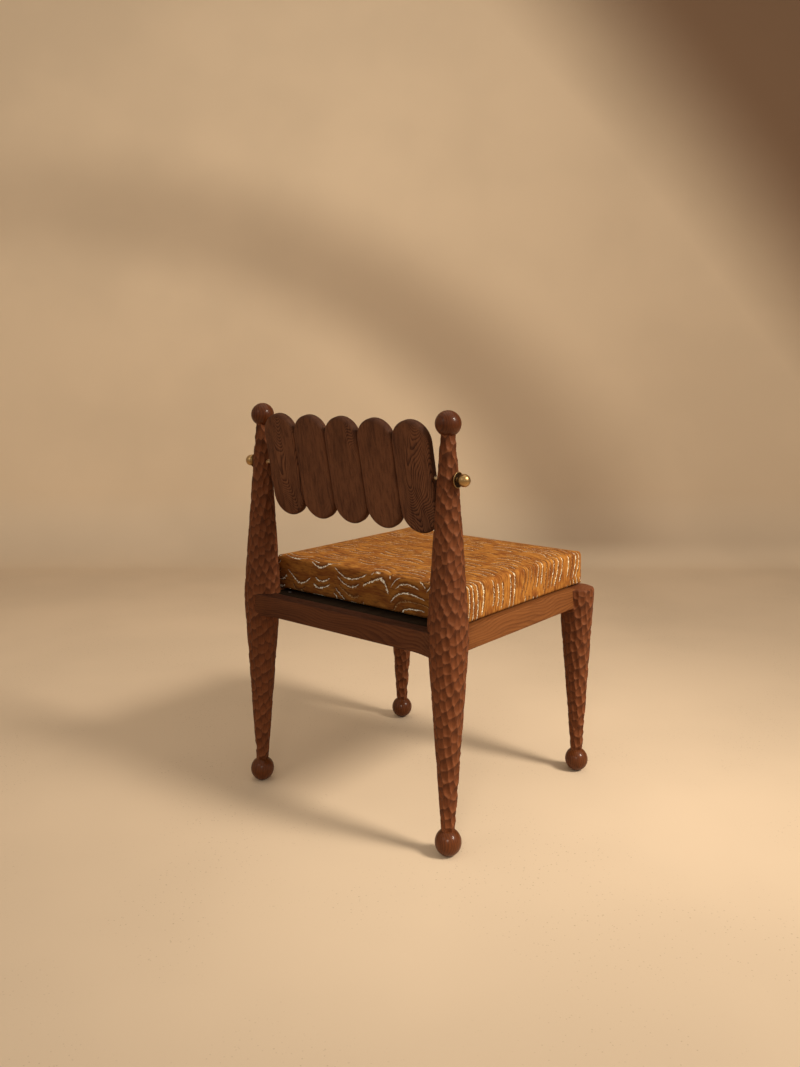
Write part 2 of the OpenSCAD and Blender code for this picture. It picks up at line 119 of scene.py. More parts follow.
def make_object(name: str, points: np.ndarray, quads: np.ndarray, caps: Sequence[np.ndarray] = (),
                sharp: Optional[float] = None) -> bpy.types.Object:
    """Makes a smooth-shaded mesh object from arrays.

    Args:
        name: the object's name.
        points: an array of places, one row each.
        quads: four point numbers a face.
        caps: further faces, each an array of point numbers in order.
        sharp: angle in degrees past which an edge is left sharp, or None for none.

    Returns:
        The new object, at the origin and linked to the scene.
    """
    mesh = bpy.data.meshes.new(name)
    loops = np.concatenate([quads.reshape(-1), *[np.asarray(cap).reshape(-1) for cap in caps]])
    sizes = np.concatenate([np.full(len(quads), 4), [len(cap) for cap in caps]]).astype(np.int32)
    starts = np.concatenate([[0], np.cumsum(sizes)[:-1]]).astype(np.int32)
    mesh.vertices.add(len(points))
    mesh.vertices.foreach_set("co", np.ascontiguousarray(points, np.float32).reshape(-1))
    mesh.loops.add(len(loops))
    mesh.loops.foreach_set("vertex_index", loops.astype(np.int32))
    mesh.polygons.add(len(sizes))
    mesh.polygons.foreach_set("loop_start", starts)
    mesh.polygons.foreach_set("use_smooth", np.ones(len(sizes), bool))
    mesh.update(calc_edges=True)
    mesh.validate()
    if sharp is not None:
        mesh.set_sharp_from_angle(angle=math.radians(sharp))
    made = bpy.data.objects.new(name, mesh)
    bpy.context.scene.collection.objects.link(made)
    return made


def tube_object(name: str, grid: np.ndarray, flip: bool = False,
                sharp: Optional[float] = None) -> bpy.types.Object:
    """Makes a closed object from rings of points, with a flat cap on the first and on the last ring.

    Args:
        name: the object's name.
        grid: rings of points, shape (rings, points in a ring, 3).
        flip: turns the faces over.
        sharp: angle in degrees past which an edge is left sharp, or None for none.

    Returns:
        The new object.
    """
    rows, columns = grid.shape[:2]
    quads = faces_of_grid(rows, columns, wrap=True)
    first = np.arange(columns)[::-1]
    last = np.arange(columns) + (rows - 1) * columns
    if flip:
        quads, first, last = quads[:, ::-1], first[::-1], last[::-1]
    return make_object(name, grid.reshape(-1, 3), quads, (first, last), sharp)


def revolve(name: str, profile: np.ndarray, place: Callable[[np.ndarray], np.ndarray], count: int = 64,
            sharp: Optional[float] = None) -> bpy.types.Object:
    """Turns a profile about an axis: a point at distance r and height h makes a ring of radius r at h.

    Args:
        name: the object's name.
        profile: distance from the axis and height of each point, from the low end to the high end.
        place: moves points drawn about +Z to where they belong.
        count: number of points in a ring.
        sharp: angle in degrees past which an edge is left sharp, or None for none.

    Returns:
        The new closed object.
    """
    angle = np.linspace(0.0, 2.0 * math.pi, count, endpoint=False)
    radius, height = profile[:, :1], profile[:, 1:]
    rings = np.stack([radius * np.cos(angle), radius * np.sin(angle), height + 0.0 * angle], axis=-1)
    return tube_object(name, place(rings), sharp=sharp)


def write_vectors(piece: bpy.types.Object, name: str, values: np.ndarray) -> None:
    """Stores one vector a point as a named attribute of the piece's mesh."""
    layer = piece.data.attributes.new(name, "FLOAT_VECTOR", "POINT")
    layer.data.foreach_set("vector", np.ascontiguousarray(values, np.float32).reshape(-1))


def read_values(items: bpy.types.bpy_prop_collection, name: str, width: int = 3,
                kind: type = np.float32) -> np.ndarray:
    """Reads one property of a mesh's points, corners or faces.

    Args:
        items: the points, corners or faces.
        name: the property's name.
        width: how many numbers an item has.
        kind: the numbers' type.

    Returns:
        An array with one row an item.
    """
    flat = np.empty(len(items) * width, kind)
    items.foreach_get(name, flat)
    return flat.reshape(-1, width)


def read_points(mesh: bpy.types.Mesh) -> np.ndarray:
    """The mesh's points as an array with one row a point."""
    return read_values(mesh.vertices, "co").astype(float)


class NodeSheet:
    """A few short words for laying out shader nodes in one tree."""

    def __init__(self, tree: bpy.types.NodeTree) -> None:
        """Keeps the tree."""
        self.tree = tree

    def add(self, kind: str, **settings: object) -> bpy.types.Node:
        """Adds a node and sets its plain properties.

        Args:
            kind: the node's type.
            **settings: its plain properties.

        Returns:
            The node.
        """
        node = self.tree.nodes.new(kind)
        for key, value in settings.items():
            setattr(node, key, value)
        return node

    def feed(self, socket: Socket, value: object) -> None:
        """Links a socket to another, or gives it a fixed value.

        Args:
            socket: the input.
            value: another node's output, or the fixed value.
        """
        if isinstance(value, Socket):
            self.tree.links.new(value, socket)
        else:
            socket.default_value = value

    def fill(self, node: bpy.types.Node, **values: object) -> None:
        """Feeds inputs of a node by name, with underscores for spaces."""
        for key, value in values.items():
            self.feed(node.inputs[key.replace("_", " ")], value)

    def maths(self, operation: str, first: object, second: object = 0.0, third: object = 0.0,
              clamp: bool = False) -> Socket:
        """Adds one Math node.

        Args:
            operation: what it works out.
            first: its first number.
            second: its second number.
            third: its third number.
            clamp: whether the result is held between 0 and 1.

        Returns:
            Its result.
        """
        node = self.add("ShaderNodeMath", operation=operation, use_clamp=clamp)
        for socket, value in zip(node.inputs, (first, second, third)):
            self.feed(socket, value)
        return node.outputs[0]

    def times(self, first: object, second: object) -> Socket:
        """The product of two numbers."""
        return self.maths("MULTIPLY", first, second)

    def vector(self, operation: str, first: object, second: object = (0.0, 0.0, 0.0), *,
               scale: Optional[object] = None) -> Socket:
        """Adds one Vector Math node.

        Args:
            operation: what it works out.
            first: its first vector.
            second: its second vector.
            scale: its Scale, or None where it has none.

        Returns:
            Its vector, or its number for a length.
        """
        node = self.add("ShaderNodeVectorMath", operation=operation)
        self.feed(node.inputs[0], first)
        self.feed(node.inputs[1], second)
        if scale is not None:
            self.feed(node.inputs["Scale"], scale)
        return node.outputs["Value"] if operation == "LENGTH" else node.outputs["Vector"]

    def noise(self, vector: object, scale: float = 1.0, detail: float = 2.0, rough: float = 0.5,
              colour: bool = False) -> Socket:
        """Adds a Noise texture.

        Args:
            vector: the place in the noise.
            scale: how many grains a metre has, or 1 where the place is scaled already.
            detail: how many finer noises are added to the first.
            rough: strength of each finer noise, as a share of the one before.
            colour: whether three numbers are wanted.

        Returns:
            Its number, or its three numbers as a colour.
        """
        node = self.add("ShaderNodeTexNoise")
        self.fill(node, Vector=vector, Scale=scale, Detail=detail, Roughness=rough)
        return node.outputs["Color" if colour else "Fac"]

    def scaled(self, vector: object, scale: Sequence[float]) -> Socket:
        """A vector times three fixed numbers."""
        return self.vector("MULTIPLY", vector, tuple(scale))

    def ramp(self, value: object, low: object, high: object, to_low: object = 0.0,
             to_high: object = 1.0) -> Socket:
        """Maps a number from one range to another with soft ends.

        Args:
            value: the number.
            low: where its range starts.
            high: where its range ends.
            to_low: what the start becomes.
            to_high: what the end becomes.

        Returns:
            The mapped number.
        """
        node = self.add("ShaderNodeMapRange", interpolation_type="SMOOTHSTEP")
        for socket, item in zip(node.inputs, (value, low, high, to_low, to_high)):
            self.feed(socket, item)
        return node.outputs["Result"]

    def mix(self, share: object, first: object, second: object) -> Socket:
        """Mixes two colours.

        Args:
            share: share of the second.
            first: the first colour.
            second: the second colour.

        Returns:
            The mixed colour.
        """
        node = self.add("ShaderNodeMix", data_type="RGBA")
        self.feed(node.inputs["Factor"], share)
        self.feed(node.inputs[6], first)
        self.feed(node.inputs[7], second)
        return node.outputs[2]

    def split(self, vector: object) -> tuple[Socket, ...]:
        """Takes a vector apart.

        Args:
            vector: the vector.

        Returns:
            Its three numbers.
        """
        node = self.add("ShaderNodeSeparateXYZ")
        self.feed(node.inputs[0], vector)
        return tuple(node.outputs)

    def join(self, x: object, y: object, z: object = 0.0) -> Socket:
        """Makes a vector of three numbers.

        Args:
            x: the first number.
            y: the second number.
            z: the third number.

        Returns:
            The vector.
        """
        node = self.add("ShaderNodeCombineXYZ")
        for socket, value in zip(node.inputs, (x, y, z)):
            self.feed(socket, value)
        return node.outputs[0]


def new_group(name: str, inputs: dict[str, tuple[str, object]], outputs: dict[str, str]
              ) -> tuple[bpy.types.NodeTree, NodeSheet, bpy.types.Node, bpy.types.Node]:
    """Starts a shader node group.

    Args:
        name: the group's name.
        inputs: for each input its kind and its usual value.
        outputs: for each output its kind.

    Returns:
        The group, a sheet on it, its input node and its output node.
    """
    kinds = {"number": "NodeSocketFloat", "colour": "NodeSocketColor", "vector": "NodeSocketVector"}
    tree = bpy.data.node_groups.new(name, "ShaderNodeTree")
    for title, (kind, value) in inputs.items():
        socket = tree.interface.new_socket(title, in_out="INPUT", socket_type=kinds[kind])
        socket.default_value = value
    for title, kind in outputs.items():
        tree.interface.new_socket(title, in_out="OUTPUT", socket_type=kinds[kind])
    sheet = NodeSheet(tree)
    return tree, sheet, sheet.add("NodeGroupInput"), sheet.add("NodeGroupOutput")


def rgb(red: float, green: float, blue: float) -> Colour:
    """An opaque colour from its three shares."""
    return (red, green, blue, 1.0)


def build_walnut_group() -> bpy.types.NodeTree:
    """Walnut figure: yearly rings around a bent, leaning trunk axis that runs roughly along Z.

    The distance from the trunk axis, warped by slow noise, is cut into rings. Each ring darkens toward its
    outer edge. Short dark pores and long streaks run along Z.

    Returns:
        A group with the inputs Vector, Light, Dark, Ring Width, Contrast, Streaks and Bend, and the
        outputs Color, Roughness and Height.
    """
    tree, sheet, given, result = new_group(
        "walnut_figure",
        {"Vector": ("vector", (0.0, 0.0, 0.0)), "Light": ("colour", rgb(0.3, 0.15, 0.08)),
         "Dark": ("colour", rgb(0.1, 0.05, 0.03)), "Ring Width": ("number", 0.006),
         "Contrast": ("number", 0.6), "Streaks": ("number", 1.0), "Bend": ("number", 0.06)},
        {"Color": "colour", "Roughness": "number", "Height": "number"})
    slow_scale = (9.0, 9.0, 4.0)
    fine_scale = (120.0, 120.0, 9.0)
    streak_scale = (210.0, 210.0, 5.0)
    patch_scale = (22.0, 22.0, 6.0)
    pore_scale = (1500.0, 1500.0, 75.0)
    streak_range, patch_range, pore_range = (0.35, 0.75), (0.35, 0.70), (0.62, 0.70)
    ring_raggedness = 0.35
    late_from, late_full, ring_end = 0.25, 0.92, 0.93
    streak_share, pore_share, patch_share = 0.32, 0.30, 0.25
    late_rough, late_relief = 0.12, 0.35
    place = given.outputs["Vector"]
    slow = sheet.noise(sheet.scaled(place, slow_scale), colour=True)
    bend = sheet.vector("SUBTRACT", slow, (0.5, 0.5, 0.5))
    bend = sheet.vector("SCALE", bend, scale=given.outputs["Bend"])
    x, y, _ = sheet.split(sheet.vector("ADD", place, bend))
    distance = sheet.vector("LENGTH", sheet.join(x, y))
    fine = sheet.noise(sheet.scaled(place, fine_scale))
    rings = sheet.maths("DIVIDE", distance, given.outputs["Ring Width"])
    rings = sheet.maths("MULTIPLY_ADD", fine, ring_raggedness, rings)
    ring = sheet.maths("FRACT", rings)
    late = sheet.times(sheet.ramp(ring, late_from, late_full), sheet.ramp(ring, 1.0, ring_end))
    streak = sheet.noise(sheet.scaled(place, streak_scale), detail=3.0, rough=0.6)
    patch = sheet.noise(sheet.scaled(place, patch_scale))
    pores = sheet.ramp(sheet.noise(sheet.scaled(place, pore_scale), detail=1.0), *pore_range)
    dark = sheet.times(late, given.outputs["Contrast"])
    lines = sheet.times(sheet.ramp(streak, *streak_range), streak_share)
    lines = sheet.maths("MULTIPLY_ADD", pores, pore_share, lines)
    dark = sheet.maths("MULTIPLY_ADD", lines, given.outputs["Streaks"], dark)
    dark = sheet.maths("MULTIPLY_ADD", sheet.ramp(patch, *patch_range), patch_share, dark, clamp=True)
    colour = sheet.mix(dark, given.outputs["Light"], given.outputs["Dark"])
    sheet.feed(result.inputs["Color"], colour)
    sheet.feed(result.inputs["Roughness"], sheet.ramp(dark, 0.0, 1.0, 0.0, late_rough))
    relief = sheet.maths("MULTIPLY_ADD", pores, -1.0, sheet.times(late, late_relief))
    sheet.feed(result.inputs["Height"], relief)
    return tree


def build_wear_group() -> bpy.types.NodeTree:
    """Soft uneven sheen such as hands and oil leave: two sizes of noise, with no direction.

    Returns:
        A group with the inputs Vector, Amount and Scale, and the outputs Mask and Height.
    """
    tree, sheet, given, result = new_group(
        "handling",
        {"Vector": ("vector", (0.0, 0.0, 0.0)), "Amount": ("number", 0.1), "Scale": ("number", 14.0)},
        {"Mask": "number", "Height": "number"})
    finer = 9.0
    broad_share, narrow_share = 0.6, 0.4
    mask_range = (0.35, 0.65)
    place = sheet.vector("SCALE", given.outputs["Vector"], scale=given.outputs["Scale"])
    broad = sheet.noise(place, detail=3.0)
    narrow = sheet.noise(sheet.vector("SCALE", place, scale=finer))
    both = sheet.maths("MULTIPLY_ADD", narrow, narrow_share, sheet.times(broad, broad_share))
    mask = sheet.times(sheet.ramp(both, *mask_range), given.outputs["Amount"])
    sheet.feed(result.inputs["Mask"], mask)
    sheet.feed(result.inputs["Height"], narrow)
    return tree


class GroupShelf:
    """The shared shader node groups, each built when it is first asked for."""

    builders: dict[str, Callable[[], bpy.types.NodeTree]] = {
        "walnut_figure": build_walnut_group,
        "handling": build_wear_group,
    }

    @classmethod
    def place(cls, sheet: NodeSheet, name: str, **values: object) -> bpy.types.Node:
        """Puts a group in a material.

        Args:
            sheet: the material's sheet.
            name: the group's name.
            **values: values or links for its inputs, with underscores for spaces.

        Returns:
            The group node.
        """
        tree = bpy.data.node_groups.get(name) or cls.builders[name]()
        node = sheet.add("ShaderNodeGroup", node_tree=tree)
        sheet.fill(node, **values)
        return node


def start_material(name: str) -> tuple[bpy.types.Material, NodeSheet, bpy.types.Node]:
    """Makes a material with one Principled BSDF.

    Args:
        name: the material's name.

    Returns:
        The material, its sheet and the shader node.
    """
    material = bpy.data.materials.new(name)
    material.use_nodes = True
    material.node_tree.nodes.clear()
    sheet = NodeSheet(material.node_tree)
    shader = sheet.add("ShaderNodeBsdfPrincipled")
    output = sheet.add("ShaderNodeOutputMaterial")
    sheet.feed(output.inputs["Surface"], shader.outputs[0])
    return material, sheet, shader


def add_bump(sheet: NodeSheet, shader: bpy.types.Node, height: object, strength: float,
             distance: float) -> None:
    """Feeds a height into the shader's Normal through a Bump node.

    Args:
        sheet: the material's sheet.
        shader: the Principled BSDF.
        height: the height.
        strength: the bump's strength.
        distance: what a height of 1 stands for, in metres.
    """
    bump = sheet.add("ShaderNodeBump")
    sheet.fill(bump, Strength=strength, Distance=distance, Height=height)
    sheet.feed(shader.inputs["Normal"], bump.outputs[0])


@dataclass(frozen=True)
class WalnutFinish:
    """Oiled walnut.

    The piece's own attribute "grain" gives the place in the plank, with the grain along Z. Where tooled is
    set, the attribute "painted_light_and_end_grain" holds three masks. The first is painted shade along the
    scoops' ridges, in the clefts between slats and on the rear rail's top. The second is painted light on the
    lower ends of scoops. The last is painted shade on the upper ends of scoops, and on the slats a darkening
    of the end grain.
    """

    name: str
    light: Colour
    dark: Colour
    roughness: float = 0.38
    ring_width: float = 0.006
    contrast: float = 0.6
    streaks: float = 1.0
    bend: float = 0.06
    relief: float = 0.25
    coat: float = 0.0
    coat_roughness: float = 0.12
    tooled: bool = False
    shine: float = 0.16
    lit_share: float = 0.25
    end_share: float = 0.60
    ridge_share: float = 0.75
    lit_wood: Colour = rgb(0.29, 0.108, 0.042)
    shade_and_end_grain: Colour = rgb(0.032, 0.011, 0.006)

    def make(self) -> bpy.types.Material:
        """Makes the material.

        Returns:
            The material.
        """
        material, sheet, shader = start_material(self.name)
        plank = sheet.add("ShaderNodeAttribute", attribute_name="grain").outputs["Vector"]
        figure = GroupShelf.place(sheet, "walnut_figure", Vector=plank, Light=self.light, Dark=self.dark,
                                  Ring_Width=self.ring_width, Contrast=self.contrast, Streaks=self.streaks,
                                  Bend=self.bend)
        hands = GroupShelf.place(sheet, "handling", Vector=plank, Amount=0.10, Scale=16.0)
        colour = figure.outputs["Color"]
        if self.tooled:
            marks = sheet.add("ShaderNodeAttribute", attribute_name="painted_light_and_end_grain").outputs["Vector"]
            ridge, low_end, high_end = sheet.split(marks)
            # Painted light brightens the lower ends of the scoops. Painted shade darkens their upper ends,
            # the ridges, the slats' clefts and the rear rail's top. On the slats the end grain is darkened.
            colour = sheet.mix(sheet.times(low_end, self.lit_share), colour, self.lit_wood)
            colour = sheet.mix(sheet.times(high_end, self.end_share), colour, self.shade_and_end_grain)
            colour = sheet.mix(sheet.times(ridge, self.ridge_share), colour, self.shade_and_end_grain)
        rough = sheet.maths("ADD", figure.outputs["Roughness"], hands.outputs["Mask"])
        rough = sheet.maths("ADD", rough, self.roughness)
        sheet.fill(shader, Base_Color=colour, Roughness=rough, Specular_IOR_Level=self.shine,
                   Coat_Weight=self.coat, Coat_Roughness=self.coat_roughness)
        add_bump(sheet, shader, figure.outputs["Height"], strength=self.relief, distance=0.0004)
        return material


@dataclass(frozen=True)
class PlainWoodFinish:
    """Planed or stained wood of a hidden piece, on Object coordinates, with the grain along one axis."""

    name: str
    light: Colour
    dark: Colour
    roughness: float = 0.6
    shine: float = 0.4
    turn: Triple = (0.0, 0.0, 0.0)
    from_trunk: Triple = (0.05, 0.04, 0.0)

    def make(self) -> bpy.types.Material:
        """Makes the material.

        Returns:
            The material.
        """
        material, sheet, shader = start_material(self.name)
        mapping = sheet.add("ShaderNodeMapping")
        sheet.fill(mapping, Vector=sheet.add("ShaderNodeTexCoord").outputs["Object"], Rotation=self.turn,
                   Location=self.from_trunk)
        figure = GroupShelf.place(sheet, "walnut_figure", Vector=mapping.outputs[0], Light=self.light,
                                  Dark=self.dark, Ring_Width=0.007, Contrast=0.5)
        rough = sheet.maths("ADD", figure.outputs["Roughness"], self.roughness)
        sheet.fill(shader, Base_Color=figure.outputs["Color"], Roughness=rough,
                   Specular_IOR_Level=self.shine)
        add_bump(sheet, shader, figure.outputs["Height"], strength=0.2, distance=0.0003)
        return material


@dataclass(frozen=True)
class MetalFinish:
    """Metal with a faint haze and fine marks, on Object coordinates."""

    name: str
    colour: Colour
    tarnish: Colour
    roughness: float
    tarnish_share: float = 0.35
    haze: float = 0.10

    def make(self) -> bpy.types.Material:
        """Makes the material.

        Returns:
            The material.
        """
        material, sheet, shader = start_material(self.name)
        place = sheet.add("ShaderNodeTexCoord").outputs["Object"]
        hands = GroupShelf.place(sheet, "handling", Vector=place, Amount=1.0, Scale=90.0)
        share = sheet.times(hands.outputs["Mask"], self.tarnish_share)
        rough = sheet.maths("MULTIPLY_ADD", hands.outputs["Mask"], self.haze, self.roughness)
        sheet.fill(shader, Base_Color=sheet.mix(share, self.colour, self.tarnish), Roughness=rough,
                   Metallic=1.0)
        add_bump(sheet, shader, hands.outputs["Height"], strength=0.05, distance=0.0002)
        return material


@dataclass(frozen=True)
class GripFinish:
    """Matte dark plastic or hook tape with a fine grain, on Object coordinates."""

    name: str
    colour: Colour
    grain: float
    lighter: float = 1.7

    def make(self) -> bpy.types.Material:
        """Makes the material.

        Returns:
            The material.
        """
        material, sheet, shader = start_material(self.name)
        place = sheet.add("ShaderNodeTexCoord").outputs["Object"]
        hands = GroupShelf.place(sheet, "handling", Vector=place, Amount=1.0, Scale=self.grain)
        worn = tuple(min(1.0, part * self.lighter) for part in self.colour[:3]) + (1.0,)
        colour = sheet.mix(hands.outputs["Mask"], self.colour, worn)
        sheet.fill(shader, Base_Color=colour, Roughness=0.75)
        add_bump(sheet, shader, hands.outputs["Height"], strength=0.4, distance=0.0005)
        return material


@dataclass(frozen=True)
class CushionFabricFinish:
    """Velvety ochre cloth with nested scalloped yarn lines.

    The UV map "cloth" gives the place on the cloth in metres, u along the chord of the scallops and v across
    them. Slow noise bends the whole design. The bent cloth is cut into columns. In each column the lines are
    parabolas stacked at a steady spacing, which bow one way or the other as a slow wave from column to column
    says. A random number for each line makes it a thick pale yarn, a thin tan one or none, and sets how far
    it reaches. Fine noise makes each line ragged. Between two lines the ground goes from ochre to dark rust.
    The ground just before each line is darkened as painted shadow of the raised yarn, which the bump also
    sinks. The attribute "upward" tells the worn top, where the yarn is flattened, and "fore_aft" the rear and
    front faces. These have deeper bows and more and paler yarn, and their ground is painted darker and less
    golden as painted shade.
    """

    name: str = "ochre_scallop_cloth"
    column: float = 0.078
    spacing: float = 0.0155
    sag: float = 0.021
    line: float = 0.00082
    turns_u: float = 6.0
    turns_start: float = 0.1
    turns_over: float = 0.25
    top_calm: float = 0.50
    top_range: Span = (0.6, 0.95)
    side_bow: float = 0.45
    wander_scale: Triple = (5.5, 8.0, 1.0)
    wander: Triple = (0.120, 0.060, 0.0)
    ragged_scale: Triple = (260.0, 260.0, 1.0)
    raggedness: float = 0.0085
    first_column: float = 5.0
    dice_seed: float = 0.37
    pale_share: float = 0.50
    pale_more: float = 0.14
    drawn_share: float = 0.82
    least_reach: float = 0.32
    more_reach: float = 0.20
    end_fade: float = 0.05
    least_half: float = 0.75
    more_half: float = 0.5
    tan_thinner: float = 0.35
    soft_edge: float = 0.35
    shade_from: float = -0.0062
    shade_to: float = -0.0016
    shade_share: float = 0.75
    swell_from: float = 0.35
    swell_peak: float = 0.95
    swell_share: float = 0.80
    swell_less: float = 0.45
    broad_scale: Triple = (18.0, 34.0, 1.0)
    streak_scale: Triple = (45.0, 300.0, 1.0)
    pile_scale: float = 900.0
    rust_range: Span = (0.36, 0.64)
    gold_range: Span = (0.50, 0.66)
    gold_share: float = 0.75
    gold_less: float = 0.45
    brown_range: Span = (0.47, 0.35)
    brown_share: float = 0.85
    fore_aft_painted_shade: float = 0.36
    tan_share: float = 0.85
    pile_relief: float = 0.25
    streak_relief: float = 0.35
    shade_relief: float = 0.8
    ochre: Colour = rgb(0.400, 0.160, 0.030)
    rust: Colour = rgb(0.215, 0.065, 0.014)
    gold: Colour = rgb(0.52, 0.248, 0.050)
    brown: Colour = rgb(0.100, 0.034, 0.010)
    tan: Colour = rgb(0.55, 0.33, 0.15)
    yarn: Colour = rgb(0.90, 0.77, 0.53)
    pale_yarn: Colour = rgb(1.0, 0.94, 0.80)

    def arcs(self, sheet: NodeSheet, cloth: Socket, ends: Socket) -> dict[str, Socket]:
        """Works out where each point lies among the scalloped lines.

        Args:
            sheet: the material's sheet.
            cloth: place on the cloth.
            ends: 1 on the rear and front faces, 0 elsewhere.

        Returns:
            The whole number of the nearest line, the signed distance from it in metres, the place across the
            column from -0.5 to 0.5, the number of the column, and the unrounded number of the line.
        """
        slow = sheet.noise(sheet.scaled(cloth, self.wander_scale), detail=1.0, colour=True)
        bend = sheet.vector("SUBTRACT", slow, (0.5, 0.5, 0.5))
        u, v, _ = sheet.split(sheet.vector("ADD", cloth, sheet.scaled(bend, self.wander)))
        ragged = sheet.noise(sheet.scaled(cloth, self.ragged_scale), detail=1.0)
        v = sheet.maths("MULTIPLY_ADD", ragged, self.raggedness, v)
        along = sheet.maths("DIVIDE", sheet.maths("ADD", u, self.first_column), self.column)
        column = sheet.maths("FLOOR", along)
        across = sheet.maths("SUBTRACT", sheet.maths("FRACT", along), 0.5)
        dice = sheet.add("ShaderNodeTexWhiteNoise", noise_dimensions="1D")
        sheet.feed(dice.inputs["W"], column)
        phase = sheet.split(dice.outputs["Color"])[0]
        middle = sheet.maths("ADD", column, 0.5)
        middle = sheet.maths("MULTIPLY_ADD", middle, self.column, -self.first_column)
        wave = sheet.maths("SINE", sheet.maths("MULTIPLY_ADD", middle, self.turns_u, self.turns_start))
        bow = sheet.ramp(wave, -self.turns_over, self.turns_over, -1.0, 1.0)
        depth = sheet.maths("MULTIPLY_ADD", ends, 1.0 - self.side_bow, self.side_bow)
        bow = sheet.times(bow, depth)
        arc = sheet.times(sheet.times(across, across), 4.0 * self.sag)
        bent = sheet.maths("MULTIPLY_ADD", arc, bow, v)
        stack = sheet.maths("ADD", sheet.maths("DIVIDE", bent, self.spacing), phase)
        number = sheet.maths("ROUND", stack)
        off = sheet.times(sheet.maths("SUBTRACT", stack, number), self.spacing)
        return {"number": number, "off": off, "across": across, "column": column, "stack": stack}

    def masks(self, sheet: NodeSheet, arcs: dict[str, Socket], fore_aft: Socket) -> dict[str, Socket]:
        """Works out which yarn each point lies on.

        Args:
            sheet: the material's sheet.
            arcs: where the point lies among the lines.
            fore_aft: 1 on the rear and front faces, 0 elsewhere.

        Returns:
            Masks of pale yarn, of thin tan yarn and of the painted shadow on the ground before a line, and
            the share of the yarn that wear has left.
        """
        dice = sheet.add("ShaderNodeTexWhiteNoise", noise_dimensions="3D")
        sheet.feed(dice.inputs["Vector"], sheet.join(arcs["column"], arcs["number"], self.dice_seed))
        kind, length, thick = sheet.split(dice.outputs["Color"])
        reach = sheet.maths("MULTIPLY_ADD", length, self.more_reach, self.least_reach)
        across = sheet.maths("ABSOLUTE", arcs["across"])
        ends = sheet.ramp(across, reach, sheet.maths("SUBTRACT", reach, self.end_fade))
        pale_share = sheet.maths("MULTIPLY_ADD", fore_aft, self.pale_more, self.pale_share)
        is_pale = sheet.maths("LESS_THAN", kind, pale_share)
        is_tan = sheet.maths("SUBTRACT", sheet.maths("LESS_THAN", kind, self.drawn_share), is_pale)
        half = sheet.maths("MULTIPLY_ADD", thick, self.more_half * self.line, self.least_half * self.line)
        half = sheet.times(half, sheet.maths("MULTIPLY_ADD", is_tan, -self.tan_thinner, 1.0))
        body = sheet.ramp(sheet.maths("ABSOLUTE", arcs["off"]), sheet.times(half, 1.0 + self.soft_edge),
                          sheet.times(half, 1.0 - self.soft_edge))
        body = sheet.times(body, ends)
        facing = sheet.add("ShaderNodeAttribute", attribute_name="upward").outputs["Fac"]
        calm = sheet.maths("MULTIPLY_ADD", sheet.ramp(facing, *self.top_range), -self.top_calm, 1.0)
        pale = sheet.times(sheet.times(body, is_pale), calm)
        thin = sheet.times(body, is_tan)
        any_line = sheet.times(ends, sheet.maths("MAXIMUM", is_pale, is_tan))
        # Painted shadow of the raised yarn on the ground just before each line.
        before = sheet.times(sheet.ramp(arcs["off"], self.shade_from, self.shade_to), any_line)
        before = sheet.times(before, sheet.maths("LESS_THAN", arcs["off"], 0.0))
        return {"pale": pale, "thin": thin, "before": before, "calm": calm}

    def ground(self, sheet: NodeSheet, cloth: Socket, streaks: Socket, stack: Socket, calm: Socket,
               fore_aft: Socket) -> Socket:
        """Colours the velvety ground between the lines.

        Args:
            sheet: the material's sheet.
            cloth: place on the cloth.
            streaks: noise drawn out along u.
            stack: unrounded number of the line.
            calm: share of the yarn that wear has left.
            fore_aft: 1 on the rear and front faces, 0 elsewhere.

        Returns:
            The colour.
        """
        swell = sheet.maths("FRACT", stack)
        swell = sheet.times(sheet.ramp(swell, self.swell_from, self.swell_peak),
                            sheet.ramp(swell, 1.0, self.swell_peak))
        broad = sheet.noise(sheet.scaled(cloth, self.broad_scale), detail=3.0, rough=0.6)
        base = sheet.mix(sheet.ramp(broad, *self.rust_range), self.ochre, self.rust)
        # Painted shade: fewer golden streaks on the rear and front faces.
        shine = sheet.maths("MULTIPLY_ADD", fore_aft, -self.gold_less, self.gold_share)
        shine = sheet.times(sheet.ramp(streaks, *self.gold_range), shine)
        base = sheet.mix(shine, base, self.gold)
        hollow = sheet.times(sheet.ramp(streaks, *self.brown_range), self.brown_share)
        base = sheet.mix(hollow, base, self.brown)
        swell_share = sheet.maths("SUBTRACT", self.swell_share, sheet.times(calm, self.swell_less))
        base = sheet.mix(sheet.times(swell, swell_share), base, self.rust)
        # Painted shade: the ground of the rear and front faces is darkened toward brown.
        return sheet.mix(sheet.times(fore_aft, self.fore_aft_painted_shade), base, self.brown)

    def make(self) -> bpy.types.Material:
        """Makes the material.

        Returns:
            The material.
        """
        material, sheet, shader = start_material(self.name)
        uv = sheet.add("ShaderNodeUVMap", uv_map="cloth").outputs["UV"]
        fore_aft = sheet.add("ShaderNodeAttribute", attribute_name="fore_aft").outputs["Fac"]
        arcs = self.arcs(sheet, uv, fore_aft)
        masks = self.masks(sheet, arcs, fore_aft)
        pale, thin, before = masks["pale"], masks["thin"], masks["before"]
        streaks = sheet.noise(sheet.scaled(uv, self.streak_scale), detail=3.0, rough=0.65)
        base = self.ground(sheet, uv, streaks, arcs["stack"], masks["calm"], fore_aft)
